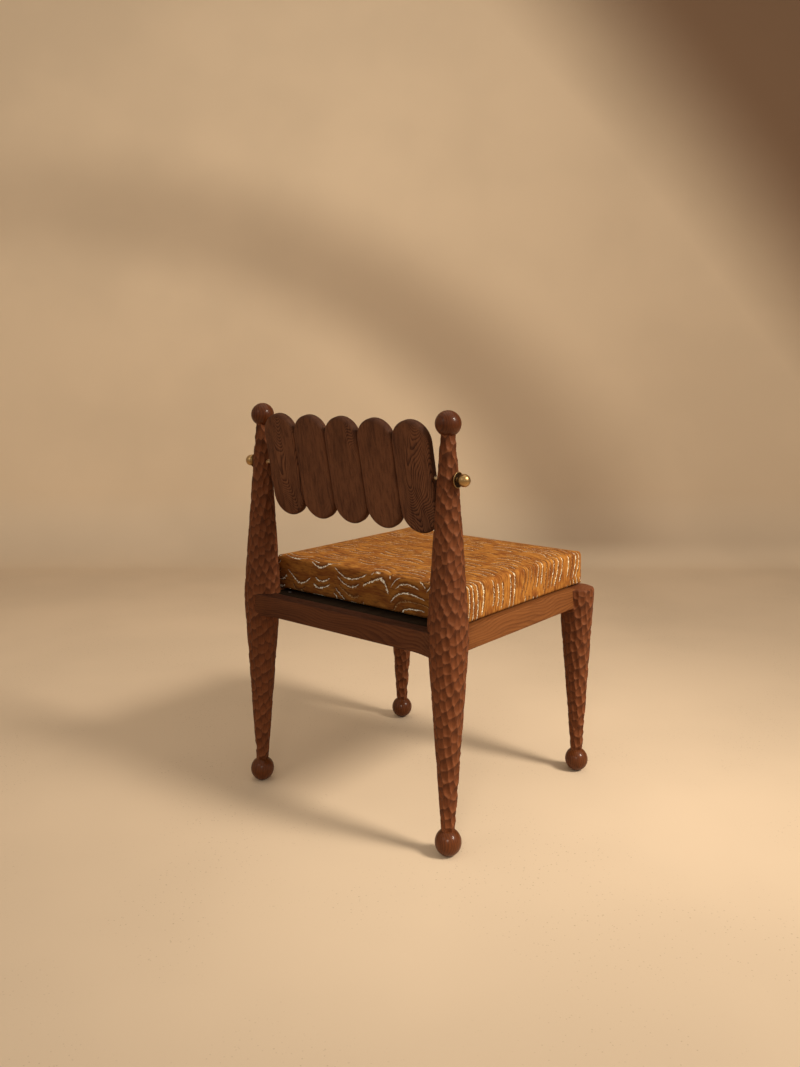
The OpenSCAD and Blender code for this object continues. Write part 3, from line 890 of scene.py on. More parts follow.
        # Painted shadow before each line.
        base = sheet.mix(sheet.times(before, self.shade_share), base, self.brown)
        base = sheet.mix(sheet.times(thin, self.tan_share), base, self.tan)
        base = sheet.mix(pale, base, sheet.mix(fore_aft, self.yarn, self.pale_yarn))
        pile = sheet.noise(uv, self.pile_scale, rough=0.6)
        relief = sheet.maths("MULTIPLY_ADD", pile, self.pile_relief, sheet.maths("MAXIMUM", pale, thin))
        relief = sheet.maths("MULTIPLY_ADD", streaks, self.streak_relief, relief)
        relief = sheet.maths("MULTIPLY_ADD", before, -self.shade_relief, relief)
        sheet.fill(shader, Base_Color=base, Roughness=0.9, Sheen_Weight=0.02, Sheen_Roughness=0.5,
                   Sheen_Tint=rgb(1.0, 0.60, 0.22), Specular_IOR_Level=0.05)
        add_bump(sheet, shader, relief, strength=0.7, distance=0.0012)
        return material


@dataclass(frozen=True)
class PlasterFinish:
    """Pale plaster of the floor and backdrop, with faint clouds, and patches of small pits in the floor.

    On the wall a painted ellipse of light ends in a soft band of painted shade. Outside it the painted shade
    fades on the left and stays on the right. Far up on the right painted shade darkens the wall along a
    slanting line.
    Each kind of pit is its number of cells to a metre and its radius as a share of a cell.
    """

    name: str
    floor: Colour
    wall: Colour
    dusk: Colour
    pits: float
    wall_way: Span = (-0.771, -0.637)
    arch_middle: float = -1.913
    arch_base: float = -0.344
    arch_wide: float = 2.75
    arch_high: float = 1.96
    band_start: float = 0.84
    band_fades: float = 1.02
    band_end: float = 1.22
    band_run: Span = (0.0, 2.3)
    band_shares: Span = (0.20, 0.52)
    stay_run: Span = (1.4, 3.3)
    stay_share: float = 0.45
    foot_fade: float = 0.10
    floor_top: float = 0.02
    wall_from: float = 0.35
    cloud_scale: float = 1.3
    cloud_range: Span = (0.35, 0.68)
    cloud_dark: float = 0.92
    patch_scale: float = 2.6
    patch_range: Span = (0.42, 0.58)
    dusk_way: Span = (0.80, 0.60)
    dusk_start: float = 3.15
    dusk_end: float = 4.15
    pit_core: float = 0.6
    pit_colour: Colour = rgb(0.40, 0.28, 0.18)
    pit_kinds: tuple[Span, ...] = ((48.0, 0.09), (110.0, 0.15))

    def shade(self, sheet: NodeSheet, place: Socket) -> Socket:
        """Works out how dark each point of the wall is painted.

        Args:
            sheet: the material's sheet.
            place: the point.

        Returns:
            The share of the dusk colour.
        """
        x, y, z = sheet.split(place)
        side = sheet.maths("MULTIPLY_ADD", x, self.wall_way[0], sheet.times(y, self.wall_way[1]))
        run = sheet.maths("SUBTRACT", side, self.arch_middle)
        rise = sheet.maths("DIVIDE", sheet.maths("SUBTRACT", z, self.arch_base), self.arch_high)
        ring = sheet.vector("LENGTH", sheet.join(sheet.maths("DIVIDE", run, self.arch_wide), rise))
        stays = sheet.ramp(run, *self.stay_run, 0.0, self.stay_share)
        outside = sheet.ramp(ring, self.band_fades, self.band_end, 1.0, stays)
        band = sheet.times(sheet.ramp(ring, self.band_start, 1.0), outside)
        band = sheet.times(band, sheet.ramp(run, *self.band_run, *self.band_shares))
        slant = sheet.times(z, self.dusk_way[1])
        slant = sheet.maths("MULTIPLY_ADD", run, self.dusk_way[0], slant)
        dark = sheet.maths("MAXIMUM", band, sheet.ramp(slant, self.dusk_start, self.dusk_end))
        return sheet.times(dark, sheet.ramp(z, 0.0, self.foot_fade))

    def make(self) -> bpy.types.Material:
        """Makes the material.

        Returns:
            The material.
        """
        material, sheet, shader = start_material(self.name)
        place = sheet.add("ShaderNodeTexCoord").outputs["Object"]
        height = sheet.split(place)[2]
        colour = sheet.mix(sheet.ramp(height, self.floor_top, self.wall_from), self.floor, self.wall)
        cloud = sheet.noise(place, self.cloud_scale, detail=3.0)
        cloud = sheet.ramp(cloud, *self.cloud_range, 1.0, self.cloud_dark)
        colour = sheet.vector("SCALE", colour, scale=cloud)
        colour = sheet.mix(self.shade(sheet, place), colour, self.dusk)
        gate = sheet.ramp(sheet.noise(place, self.patch_scale, detail=3.0), *self.patch_range)
        gate = sheet.times(gate, sheet.ramp(height, self.floor_top, 0.0))
        for scale, size in self.pit_kinds:
            spots = sheet.add("ShaderNodeTexVoronoi")
            sheet.fill(spots, Vector=sheet.vector("ADD", place, (scale, 0.0, 0.0)), Scale=scale)
            pit = sheet.times(sheet.ramp(spots.outputs["Distance"], size, self.pit_core * size), gate)
            pit = sheet.times(pit, self.pits)
            colour = sheet.mix(pit, colour, self.pit_colour)
        sheet.fill(shader, Base_Color=colour, Roughness=0.8, Specular_IOR_Level=0.25)
        return material


@dataclass
class Studio:
    """Camera, lamps, floor and backdrop."""

    camera_place: Triple = (-1.28766, 1.63196, 0.89862)
    look_yaw: float = 39.558
    focal_pixels: float = 949.035
    image_height: float = 1067.0
    horizon: float = 363.598
    sensor: float = 36.0
    key_place: Triple = (-1.889, -0.213, 1.82)
    key_aim: Triple = (-0.1, 0.1, 0.35)
    key_size: float = 0.7
    key_power: float = 12.0
    far_times: float = 2.2
    far_size: float = 1.4
    far_power: float = 45.0
    pool_aim: Triple = (-0.14, -0.14, 0.05)
    pool_cone: float = 25.0
    pool_power: float = 1000.0
    low_place: Triple = (-1.2, 1.9, 1.2)
    low_aim: Triple = (-0.13, 0.12, 0.06)
    low_size: float = 0.5
    low_power: float = 52.0
    low_cone: float = 24.0
    soft_place: Triple = (0.45, 3.3, 2.6)
    soft_aim: Triple = (0.0, 0.1, 0.5)
    soft_size: float = 1.4
    soft_power: float = 8.0
    top_place: Triple = (0.1, -0.2, 3.0)
    top_aim: Triple = (0.1, -0.2, 0.0)
    top_size: float = 2.6
    top_power: float = 12.0
    world_strength: float = 0.48
    world_colour: Colour = rgb(1.0, 0.90, 0.77)
    lamp_colour: Triple = (1.0, 0.90, 0.76)
    floor_half: float = 9.0
    floor_near: float = 2.0
    wall_distance: float = 2.35
    wall_curve: float = 0.30
    wall_height: float = 4.5

    def add_camera(self) -> None:
        """A level camera that looks along the photograph's direction, shifted to its horizon."""
        data = bpy.data.cameras.new("camera")
        data.sensor_width = self.sensor
        data.lens = self.focal_pixels / self.image_height * self.sensor
        data.shift_y = -(self.image_height / 2 - self.horizon) / self.image_height
        camera = bpy.data.objects.new("camera", data)
        bpy.context.scene.collection.objects.link(camera)
        yaw = math.radians(self.look_yaw)
        direction = Vector((math.sin(yaw), -math.cos(yaw), 0.0))
        camera.location = self.camera_place
        camera.rotation_euler = direction.to_track_quat("-Z", "Y").to_euler()
        bpy.context.scene.camera = camera

    def add_lamp(self, name: str, place: Sequence[float], aim: Sequence[float], size: float,
                 power: float, cone: float = 0.0) -> None:
        """Adds a round area lamp that faces its aim, or a soft-edged spot lamp.

        Args:
            name: the lamp's name.
            place: where it stands.
            aim: the point that it faces.
            size: its diameter.
            power: its power in watts.
            cone: full angle of a spot lamp's cone in degrees, or 0 for an area lamp.
        """
        data = bpy.data.lights.new(name, "SPOT" if cone else "AREA")
        data.energy = power
        if cone:
            data.spot_size = math.radians(cone)
            data.spot_blend = 1.0
            data.shadow_soft_size = size / 2
        else:
            data.shape = "DISK"
            data.size = size
        data.color = self.lamp_colour
        lamp = bpy.data.objects.new(name, data)
        lamp.location = place
        lamp.rotation_euler = (Vector(place) - Vector(aim)).to_track_quat("Z", "Y").to_euler()
        lamp.visible_camera = False
        bpy.context.scene.collection.objects.link(lamp)

    def add_lights(self) -> None:
        """Adds the key lamps at the chair's right, two spots, two weak broad lamps and an even world.

        The far key lamps lie on the near one's line from its aim, so their shadows agree. One spot makes the
        pool of light on the floor, and the low one lifts the legs and the floor between them as light thrown
        back from that pool would.
        """
        aim = np.array(self.key_aim)
        far_place = aim + self.far_times * (np.array(self.key_place) - aim)
        self.add_lamp("key", self.key_place, self.key_aim, self.key_size, self.key_power)
        self.add_lamp("far_key", far_place.tolist(), self.key_aim, self.far_size, self.far_power)
        self.add_lamp("pool", far_place.tolist(), self.pool_aim, self.far_size, self.pool_power,
                      self.pool_cone)
        self.add_lamp("low", self.low_place, self.low_aim, self.low_size, self.low_power, self.low_cone)
        self.add_lamp("soft", self.soft_place, self.soft_aim, self.soft_size, self.soft_power)
        self.add_lamp("overhead", self.top_place, self.top_aim, self.top_size, self.top_power)
        world = bpy.data.worlds.new("studio")
        world.use_nodes = True
        NodeSheet(world.node_tree).fill(world.node_tree.nodes["Background"], Color=self.world_colour,
                                        Strength=self.world_strength)
        bpy.context.scene.world = world
        bpy.context.scene.view_settings.view_transform = "Standard"

    def add_room(self) -> None:
        """A floor that curves up into a wall, as one sheet swept along a straight line.

        The profile runs along the floor, round a quarter circle and up the wall, and the sheet is its sweep
        square to the camera's direction.
        """
        yaw = math.radians(self.look_yaw)
        ahead = np.array([math.sin(yaw), -math.cos(yaw), 0.0])
        across = np.array([math.cos(yaw), math.sin(yaw), 0.0])
        bend = np.linspace(0.0, math.pi / 2, 17)
        start = self.wall_distance - self.wall_curve
        floor_run = np.array([[-self.floor_half, 0.0], [-self.floor_near, 0.0]])
        curve = self.wall_curve * np.stack([np.sin(bend), 1 - np.cos(bend)], axis=-1) + [start, 0.0]
        wall_run = np.array([[self.wall_distance, self.wall_height]])
        profile = np.concatenate([floor_run, curve, wall_run])
        reach = np.linspace(-self.floor_half, self.floor_half, 9)
        grid = (profile[:, None, :1] * ahead + reach[None, :, None] * across
                + profile[:, None, 1:] * np.array([0.0, 0.0, 1.0]))
        rows, columns = grid.shape[:2]
        room = make_object("room", grid.reshape(-1, 3), faces_of_grid(rows, columns, wrap=False))
        finish = PlasterFinish("pale_plaster", rgb(0.69, 0.54, 0.385), rgb(0.88, 0.70, 0.50),
                               rgb(0.22, 0.13, 0.075), 0.55)
        room.data.materials.append(finish.make())


@dataclass
class Gouging:
    """Hand-gouged surface: the lower envelope of shallow scoops, set in rings around the leg.

    Each ring holds as many scoops of about one width as fit around the leg. Within a ring each scoop lies a
    set share of the pitch higher than the last, and starts again at the bottom past a whole pitch. Across its
    width a scoop is an arc of the gouge's radius. Laid on the round leg, that is the square of the distance
    from the scoop's middle, times half of the sum of one over the gouge's radius and one over the leg's
    radius. Along the leg it rises as the square of the distance from its deepest line, slowly upward and
    steeply downward, because the cut runs down and stops. Toward that end the arc tightens, which makes the
    end round. The surface takes the deepest scoop at each point, so neighbouring scoops meet in ridges.
    """

    width: float = 12.8 * MM
    pitch: float = 21.0 * MM
    next_scoop: float = 0.38
    ring_turn: float = 0.11
    scatter: float = 0.2
    gouge_share: float = 0.95
    gouge_spread: Span = (0.85, 1.2)
    depth_spread: Span = (0.85, 1.25)
    upward: float = 0.78
    downward: float = 0.42
    round_end: float = 1.1
    proud: float = 0.25 * MM
    ridge: float = 0.25 * MM
    reach_along: float = 1.7
    reach_around: float = 1.6
    uncut: float = 9.0

    def cut(self, height: np.ndarray, angle: np.ndarray, radius: np.ndarray,
            seed: int) -> tuple[np.ndarray, np.ndarray]:
        """Cuts all scoops.

        Args:
            height: height of each ring of points.
            angle: angle of each point of a ring.
            radius: radius of the round leg at each ring.
            seed: chooses the scatter of the scoops.

        Returns:
            How far the surface moves outward, with a row for each ring and a column for each angle. Also
            three masks for each point that place painted shade and light: the ridge line (painted shade), the
            lower end of a scoop (painted light) and the upper end of a scoop (painted shade).
        """
        dice = np.random.default_rng(seed)
        deepest = np.full((len(height), len(angle)), self.uncut)
        second = deepest.copy()
        place = np.zeros_like(deepest)
        levels = np.arange(height.min() - 2.0 * self.pitch, height.max() + self.pitch, self.pitch)
        for ring, ring_level in enumerate(levels):
            ring_r = float(np.interp(ring_level, height, radius))
            count = max(5, round(2.0 * math.pi * ring_r / self.width))
            step = 2.0 * math.pi / count
            for number in range(count):
                lift = number * self.next_scoop % 1.0 + dice.uniform(-self.scatter, self.scatter)
                level = ring_level + self.pitch * lift
                turned = number + self.ring_turn * ring + dice.uniform(-self.scatter, self.scatter)
                middle = step * turned
                leg_r = float(np.interp(level, height, radius))
                half_width = 0.5 * step * leg_r
                gouge_r = 2.0 * self.gouge_share * half_width * dice.uniform(*self.gouge_spread)
                curve = 0.5 / gouge_r + 0.5 / leg_r
                deep = curve * half_width ** 2 * dice.uniform(*self.depth_spread)
                rows = np.nonzero(np.abs(height - level) < self.reach_along * self.pitch)[0]
                turn = (angle - middle + math.pi) % (2.0 * math.pi) - math.pi
                near = np.nonzero(np.abs(turn) < self.reach_around * step)[0]
                if len(rows) == 0:
                    continue
                spot = np.ix_(rows, near)
                rise = (height[rows] - level)[:, None]
                share = rise / (self.pitch * np.where(rise > 0.0, self.upward, self.downward))
                tight = 1.0 + self.round_end * np.where(rise > 0.0, 0.0, np.minimum(share ** 2, 2.0))
                scoop = curve * tight * (leg_r * turn[near][None, :]) ** 2 + deep * (share ** 2 - 1.0)
                first = deepest[spot]
                second[spot] = np.minimum(second[spot], np.maximum(first, scoop))
                place[spot] = np.where(scoop < first, share + 0.0 * scoop, place[spot])
                deepest[spot] = np.minimum(first, scoop)
        ridge = np.exp(-np.maximum(second - deepest, 0.0) / self.ridge)
        marks = np.stack([ridge, smooth(-place), smooth(place)], axis=-1)
        return np.minimum(deepest, self.proud), marks


@dataclass
class CarvedLegs:
    """The two rear posts and the two front legs."""

    ankle_r: float = 12.7 * MM
    waist_r: float = 38.5 * MM
    neck_r: float = 14.4 * MM
    waist_low: float = 391.0 * MM
    waist_high: float = 417.0 * MM
    soft_waist: float = 16.0 * MM
    near_waist: float = 45.0 * MM
    into_ball: float = 2.0 * MM
    edge_r: float = 4.5 * MM
    rod_height: float = ROD_HEIGHT
    flat_x: float = POST_FLAT_X
    flat_r: float = 15.5 * MM
    around_points: int = 180
    ring_step: float = 1.38 * MM
    plank_aside: float = 0.021
    plank_below: float = 0.034
    plank_along: float = 0.31
    finish: WalnutFinish = WalnutFinish("gouged_walnut", rgb(0.165, 0.051, 0.019), rgb(0.080, 0.025, 0.009),
                                        shine=0.08, roughness=0.48, ring_width=0.006, contrast=0.25,
                                        streaks=0.45, relief=0.12, tooled=True)

    def radius_at(self, height: np.ndarray, ankle_z: float, upper_end: float, slim_r: float) -> np.ndarray:
        """Radius of the leg before carving: a straight cone up to the waist and another above it.

        Args:
            height: height of each ring.
            ankle_z: height where the lower cone starts.
            upper_end: height where the upper cone ends.
            slim_r: radius at that end.

        Returns:
            The radius of each ring, rounded off softly where cone and waist meet.
        """
        def cones(z: np.ndarray) -> np.ndarray:
            """The sharp profile."""
            return np.interp(z, [ankle_z, self.waist_low, self.waist_high, upper_end],
                             [self.ankle_r, self.waist_r, self.waist_r, slim_r])
        shifts = np.linspace(-self.soft_waist, self.soft_waist, 9)
        weights = np.cos(shifts / self.soft_waist * math.pi / 2) + 0.05
        softened = sum(w * cones(height + s) for w, s in zip(weights, shifts)) / weights.sum()
        from_waist = height - (self.waist_low + self.waist_high) / 2
        near = np.exp(-(from_waist / self.near_waist) ** 2)
        return cones(height) * (1 - near) + softened * near

    def carve(self, name: str, axis: np.ndarray, height: np.ndarray, radius: np.ndarray, body: np.ndarray,
              weight: np.ndarray, seed: int, flat_side: Optional[Side]) -> bpy.types.Object:
        """Builds one carved leg from rings.

        Args:
            name: the piece's name.
            axis: x and y of the leg's axis.
            height: height of each ring.
            radius: radius of each ring before carving.
            body: radius that the leg would have there without a rounded end.
            weight: share of the carving on each ring.
            seed: chooses the scatter of the scoops.
            flat_side: side on which the seat of the rosette is cut, or None.

        Returns:
            The leg, still without its material.
        """
        angle = np.linspace(0.0, 2.0 * math.pi, self.around_points, endpoint=False)
        steady = np.maximum.accumulate(height) + np.arange(len(height)) * 1e-9
        move, marks = Gouging().cut(steady, angle, body, seed)
        ring = np.maximum(radius[:, None] + move * weight[:, None], 1e-5)
        x = ring * np.cos(angle)
        y = ring * np.sin(angle)
        z = np.broadcast_to(height[:, None], x.shape)
        if flat_side is not None:
            outward = x * flat_side.value
            seat = (y ** 2 + (z - self.rod_height) ** 2 < self.flat_r ** 2) & (outward > self.flat_x)
            x = np.where(seat, flat_side.value * self.flat_x, x)
        grid = np.stack([x + axis[0], y + axis[1], z], axis=-1)
        leg = tube_object(name, grid)
        aside, along = self.plank_aside * seed, self.plank_along * seed
        plank = np.stack([x + aside, y + self.plank_below, z + along], axis=-1)
        write_vectors(leg, "grain", plank.reshape(-1, 3))
        # Masks for painted shade on the ridges and upper ends of the scoops, and painted light on their lower
        # ends.
        write_vectors(leg, "painted_light_and_end_grain", (marks * weight[:, None, None]).reshape(-1, 3))
        return leg

    def build(self) -> list[bpy.types.Object]:
        """Builds all four legs.

        Returns:
            The legs.
        """
        wood = self.finish.make()
        made = []
        for seed, (row, side) in enumerate([(r, s) for r in Row for s in Side], start=3):
            word = "rear_post" if row is Row.REAR else "front_leg"
            node = f"{word}_{side.word}"
            low, high = node_box(node)
            axis = (low + high)[:2] / 2
            if row is Row.REAR:
                height = np.arange(low[2] - self.into_ball, high[2] + self.into_ball, self.ring_step)
                radius = self.radius_at(height, low[2], high[2], self.neck_r)
                weight = np.ones(len(height))
                leg = self.carve(f"carved_{node}", axis, height, radius, radius, weight, seed, side)
            else:
                side_run = np.arange(low[2] - self.into_ball, high[2] - self.edge_r, self.ring_step)
                bend = np.linspace(0.0, math.pi / 2, 9)[1:]
                top_run = np.linspace(1.0, 0.04, 7)[1:]
                edge_in = self.waist_r - self.edge_r
                height = np.concatenate([side_run, high[2] - self.edge_r * (1 - np.sin(bend)),
                                         np.full(len(top_run), high[2])])
                radius = np.concatenate([self.radius_at(side_run, low[2], high[2] + 1.0, self.waist_r),
                                         edge_in + self.edge_r * np.cos(bend), edge_in * top_run])
                weight = np.concatenate([np.ones(len(side_run)), np.cos(bend) ** 0.5,
                                         np.zeros(len(top_run))])
                body = self.radius_at(height, low[2], high[2] + 1.0, self.waist_r)
                leg = self.carve(f"carved_{node}", axis, height, radius, body, weight, seed, None)
            leg.data.materials.append(wood)
            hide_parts(node)
            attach(leg, "chair_frame")
            made.append(leg)
        return made


@dataclass
class Balls:
    """The balls on the posts and the ball feet: spheres with a small flat under each foot."""

    radius: float = 24.7 * MM
    foot_flat_r: float = 8.0 * MM
    count: int = 72
    plank_aside: float = 0.03
    plank_below: float = 0.012
    plank_along: float = 0.13
    finial_finish: WalnutFinish = WalnutFinish("turned_dark_walnut", rgb(0.110, 0.029, 0.008),
                                               rgb(0.050, 0.0135, 0.0045), roughness=0.30, ring_width=0.004,
                                               contrast=0.5, relief=0.08, coat=0.22, shine=0.08)
    foot_finish: WalnutFinish = WalnutFinish("turned_walnut", rgb(0.124, 0.034, 0.009),
                                             rgb(0.055, 0.016, 0.005), roughness=0.30, ring_width=0.004,
                                             contrast=0.5, relief=0.08, coat=0.22, shine=0.08)

    def ball(self, name: str, centre: np.ndarray, lowest: float, along: float) -> bpy.types.Object:
        """Builds one ball.

        Args:
            name: the piece's name.
            centre: the ball's centre.
            lowest: height under which the ball is cut flat.
            along: the ball's place along the plank.

        Returns:
            The ball.
        """
        start = math.asin(max(-1.0, (lowest - centre[2]) / self.radius))
        rise = np.linspace(max(start, -math.pi / 2 + 0.02), math.pi / 2 - 0.02, self.count // 2)
        profile = np.stack([self.radius * np.cos(rise), self.radius * np.sin(rise)], axis=-1)
        piece = revolve(name, profile, lambda points: points + centre, self.count)
        in_plank = np.array([self.plank_aside, self.plank_below, along])
        write_vectors(piece, "grain", read_points(piece.data) - centre + in_plank)
        return piece

    def build(self) -> list[bpy.types.Object]:
        """Builds the six balls.

        Returns:
            The balls.
        """
        finial_wood, foot_wood = self.finial_finish.make(), self.foot_finish.make()
        made = []
        nodes = [f"finial_ball_{side.word}" for side in Side]
        nodes += [f"foot_ball_{row.word}_{side.word}" for row in Row for side in Side]
        for number, node in enumerate(nodes):
            low, high = node_box(node)
            centre = (low + high) / 2
            finial = node.startswith("finial")
            foot_rise = math.sqrt(self.radius ** 2 - self.foot_flat_r ** 2)
            centre[2] = high[2] - self.radius if finial else low[2] + foot_rise
            lowest = -1.0 if finial else low[2]
            piece = self.ball(f"turned_{node}", centre, lowest, self.plank_along * number)
            piece.data.materials.append(finial_wood if finial else foot_wood)
            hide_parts(node)
            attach(piece, "chair_frame")
            made.append(piece)
        return made


@dataclass
class Rails:
    """The four seat rails. The rear rail curves outward and runs into the posts without an edge."""

    corner: float = 2.2 * MM
    rows: int = 120
    side_points: int = 5
    flare_out: float = 9.5 * MM
    flare_up: float = 3.0 * MM
    flare_start: float = 66.0 * MM
    flare_end: float = 20.0 * MM
    leg_axis: float = 12.0 * MM
    short_of_axis: float = 26.0 * MM
    short_where_flared: float = 9.0 * MM
    wobble_high: float = 0.25 * MM
    wobble_long: float = 46.0 * MM
    flat_share: float = 0.85
    flare_power: float = 1.7
    low_flare: float = 0.45
    plank_below: float = 0.052
    plank_aside: float = 0.018
    aside_step: float = 0.01
    along_step: float = 0.37
    finish: WalnutFinish = WalnutFinish("rail_walnut", rgb(0.213, 0.077, 0.022), rgb(0.094, 0.029, 0.009),
                                        roughness=0.46, ring_width=0.0040, contrast=0.42, streaks=1.2,
                                        bend=0.055, relief=0.15, shine=0.08)
    # Painted shade: a darker copy of the rail walnut for the rear rail, which faces away from the key lamp.
    # It also carries painted shade on its top face.
    shaded_rear_finish: WalnutFinish = WalnutFinish("rear_rail_walnut_painted_shade", rgb(0.110, 0.037, 0.014),
                                             rgb(0.042, 0.013, 0.006), roughness=0.46, ring_width=0.0040,
                                             contrast=0.44, streaks=1.2, bend=0.060, relief=0.15,
                                             tooled=True, shine=0.08)

    def section(self) -> tuple[np.ndarray, np.ndarray]:
        """Outline of a rail as signs and rounding.

        Returns:
            For each point of the outline, its two shares from -1 to 1 of the half sizes, and how far it is
            moved inward by the round corners.
        """
        bend = np.linspace(0.0, math.pi / 2, 6)
        flat = np.linspace(-1.0, 1.0, self.side_points + 2)[1:-1]
        shares, insets = [], []
        for quarter in range(4):
            turn = quarter * math.pi / 2
            spin = np.array([[math.cos(turn), -math.sin(turn)], [math.sin(turn), math.cos(turn)]])
            side = np.stack([np.ones(len(flat)), flat * self.flat_share], axis=-1)
            shares.append(side @ spin.T)
            insets.append(np.zeros((len(flat), 2)))
            shares.append(np.tile(np.array([[1.0, 1.0]]) @ spin.T, (len(bend), 1)))
            arc = np.stack([np.cos(bend) - 1.0, np.sin(bend) - 1.0], axis=-1)
            insets.append(arc @ spin.T * self.corner)
        return np.concatenate(shares), np.concatenate(insets)

    def rail(self, name: str, node: str, along: int, flares: bool, seed: float) -> bpy.types.Object:
        """Builds one rail inside its CAD box.

        Args:
            name: the piece's name.
            node: the CAD node that it stands for.
            along: 0 for a rail along X, 1 for a rail along Y.
            flares: whether its outer face turns outward at the ends.
            seed: moves the grain.

        Returns:
            The rail.
        """
        low, high = node_box(node)
        half = (high - low) / 2
        centre = (high + low) / 2
        short = self.short_where_flared if flares else self.short_of_axis
        reach = half[along] + self.leg_axis - short
        run = np.linspace(-reach, reach, self.rows)
        shares, insets = self.section()
        across = 1 - along
        wide = shares[:, 0] * half[across] + insets[:, 0]
        tall = shares[:, 1] * half[2] + insets[:, 1]
        from_axis = np.maximum(reach - np.abs(run) + short, self.flare_end)
        flare = (self.flare_start - from_axis) / (self.flare_start - self.flare_end)
        flare = np.clip(flare, 0.0, 1.0) ** self.flare_power * float(flares)
        upper = smooth((shares[:, 1] + 1.1) / 0.9)
        outer = smooth((shares[:, 0] + 1.0) / 2.0) * (self.low_flare + (1.0 - self.low_flare) * upper)
        grid = np.empty((len(run), len(wide), 3))
        grid[..., along] = run[:, None] + centre[along]
        wobble = self.wobble_high * np.sin(run / self.wobble_long + 9.0 * seed)[:, None]
        grid[..., across] = wide + centre[across] + self.flare_out * flare[:, None] * outer + wobble
        grid[..., 2] = tall + centre[2] + self.flare_up * flare[:, None] * shares[:, 1]
        piece = tube_object(name, grid, flip=along == 1)
        points = read_points(piece.data) - centre
        order = [2, across, along]
        aside, onward = self.plank_aside + self.aside_step * seed, self.along_step * seed
        plank = points[:, order] + np.array([self.plank_below, aside, onward])
        write_vectors(piece, "grain", plank)
        # Painted shade on the top face of the rail, where the cushion shades it. Only the rear rail's finish
        # uses this mask.
        top = np.broadcast_to(1.0 - smooth((half[2] - tall) / self.corner), grid.shape[:2])
        marks = np.stack([top, 0.0 * top, 0.0 * top], axis=-1)
        write_vectors(piece, "painted_light_and_end_grain", marks.reshape(-1, 3))
        return piece

    def build(self) -> list[bpy.types.Object]:
        """Builds the four rails.

        Returns:
            The rails.
        """
        side_wood, shaded_rear_wood = self.finish.make(), self.shaded_rear_finish.make()
        plan = [("rear_rail", 0, True), ("front_rail", 0, False),
                ("side_rail_left", 1, False), ("side_rail_right", 1, False)]
        made = []
        for number, (node, along, flares) in enumerate(plan):
            piece = self.rail(f"smooth_{node}", node, along, flares, 1.0 + number)
            piece.data.materials.append(shaded_rear_wood if flares else side_wood)
            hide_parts(node)
            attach(piece, "chair_frame")
            made.append(piece)
        return made


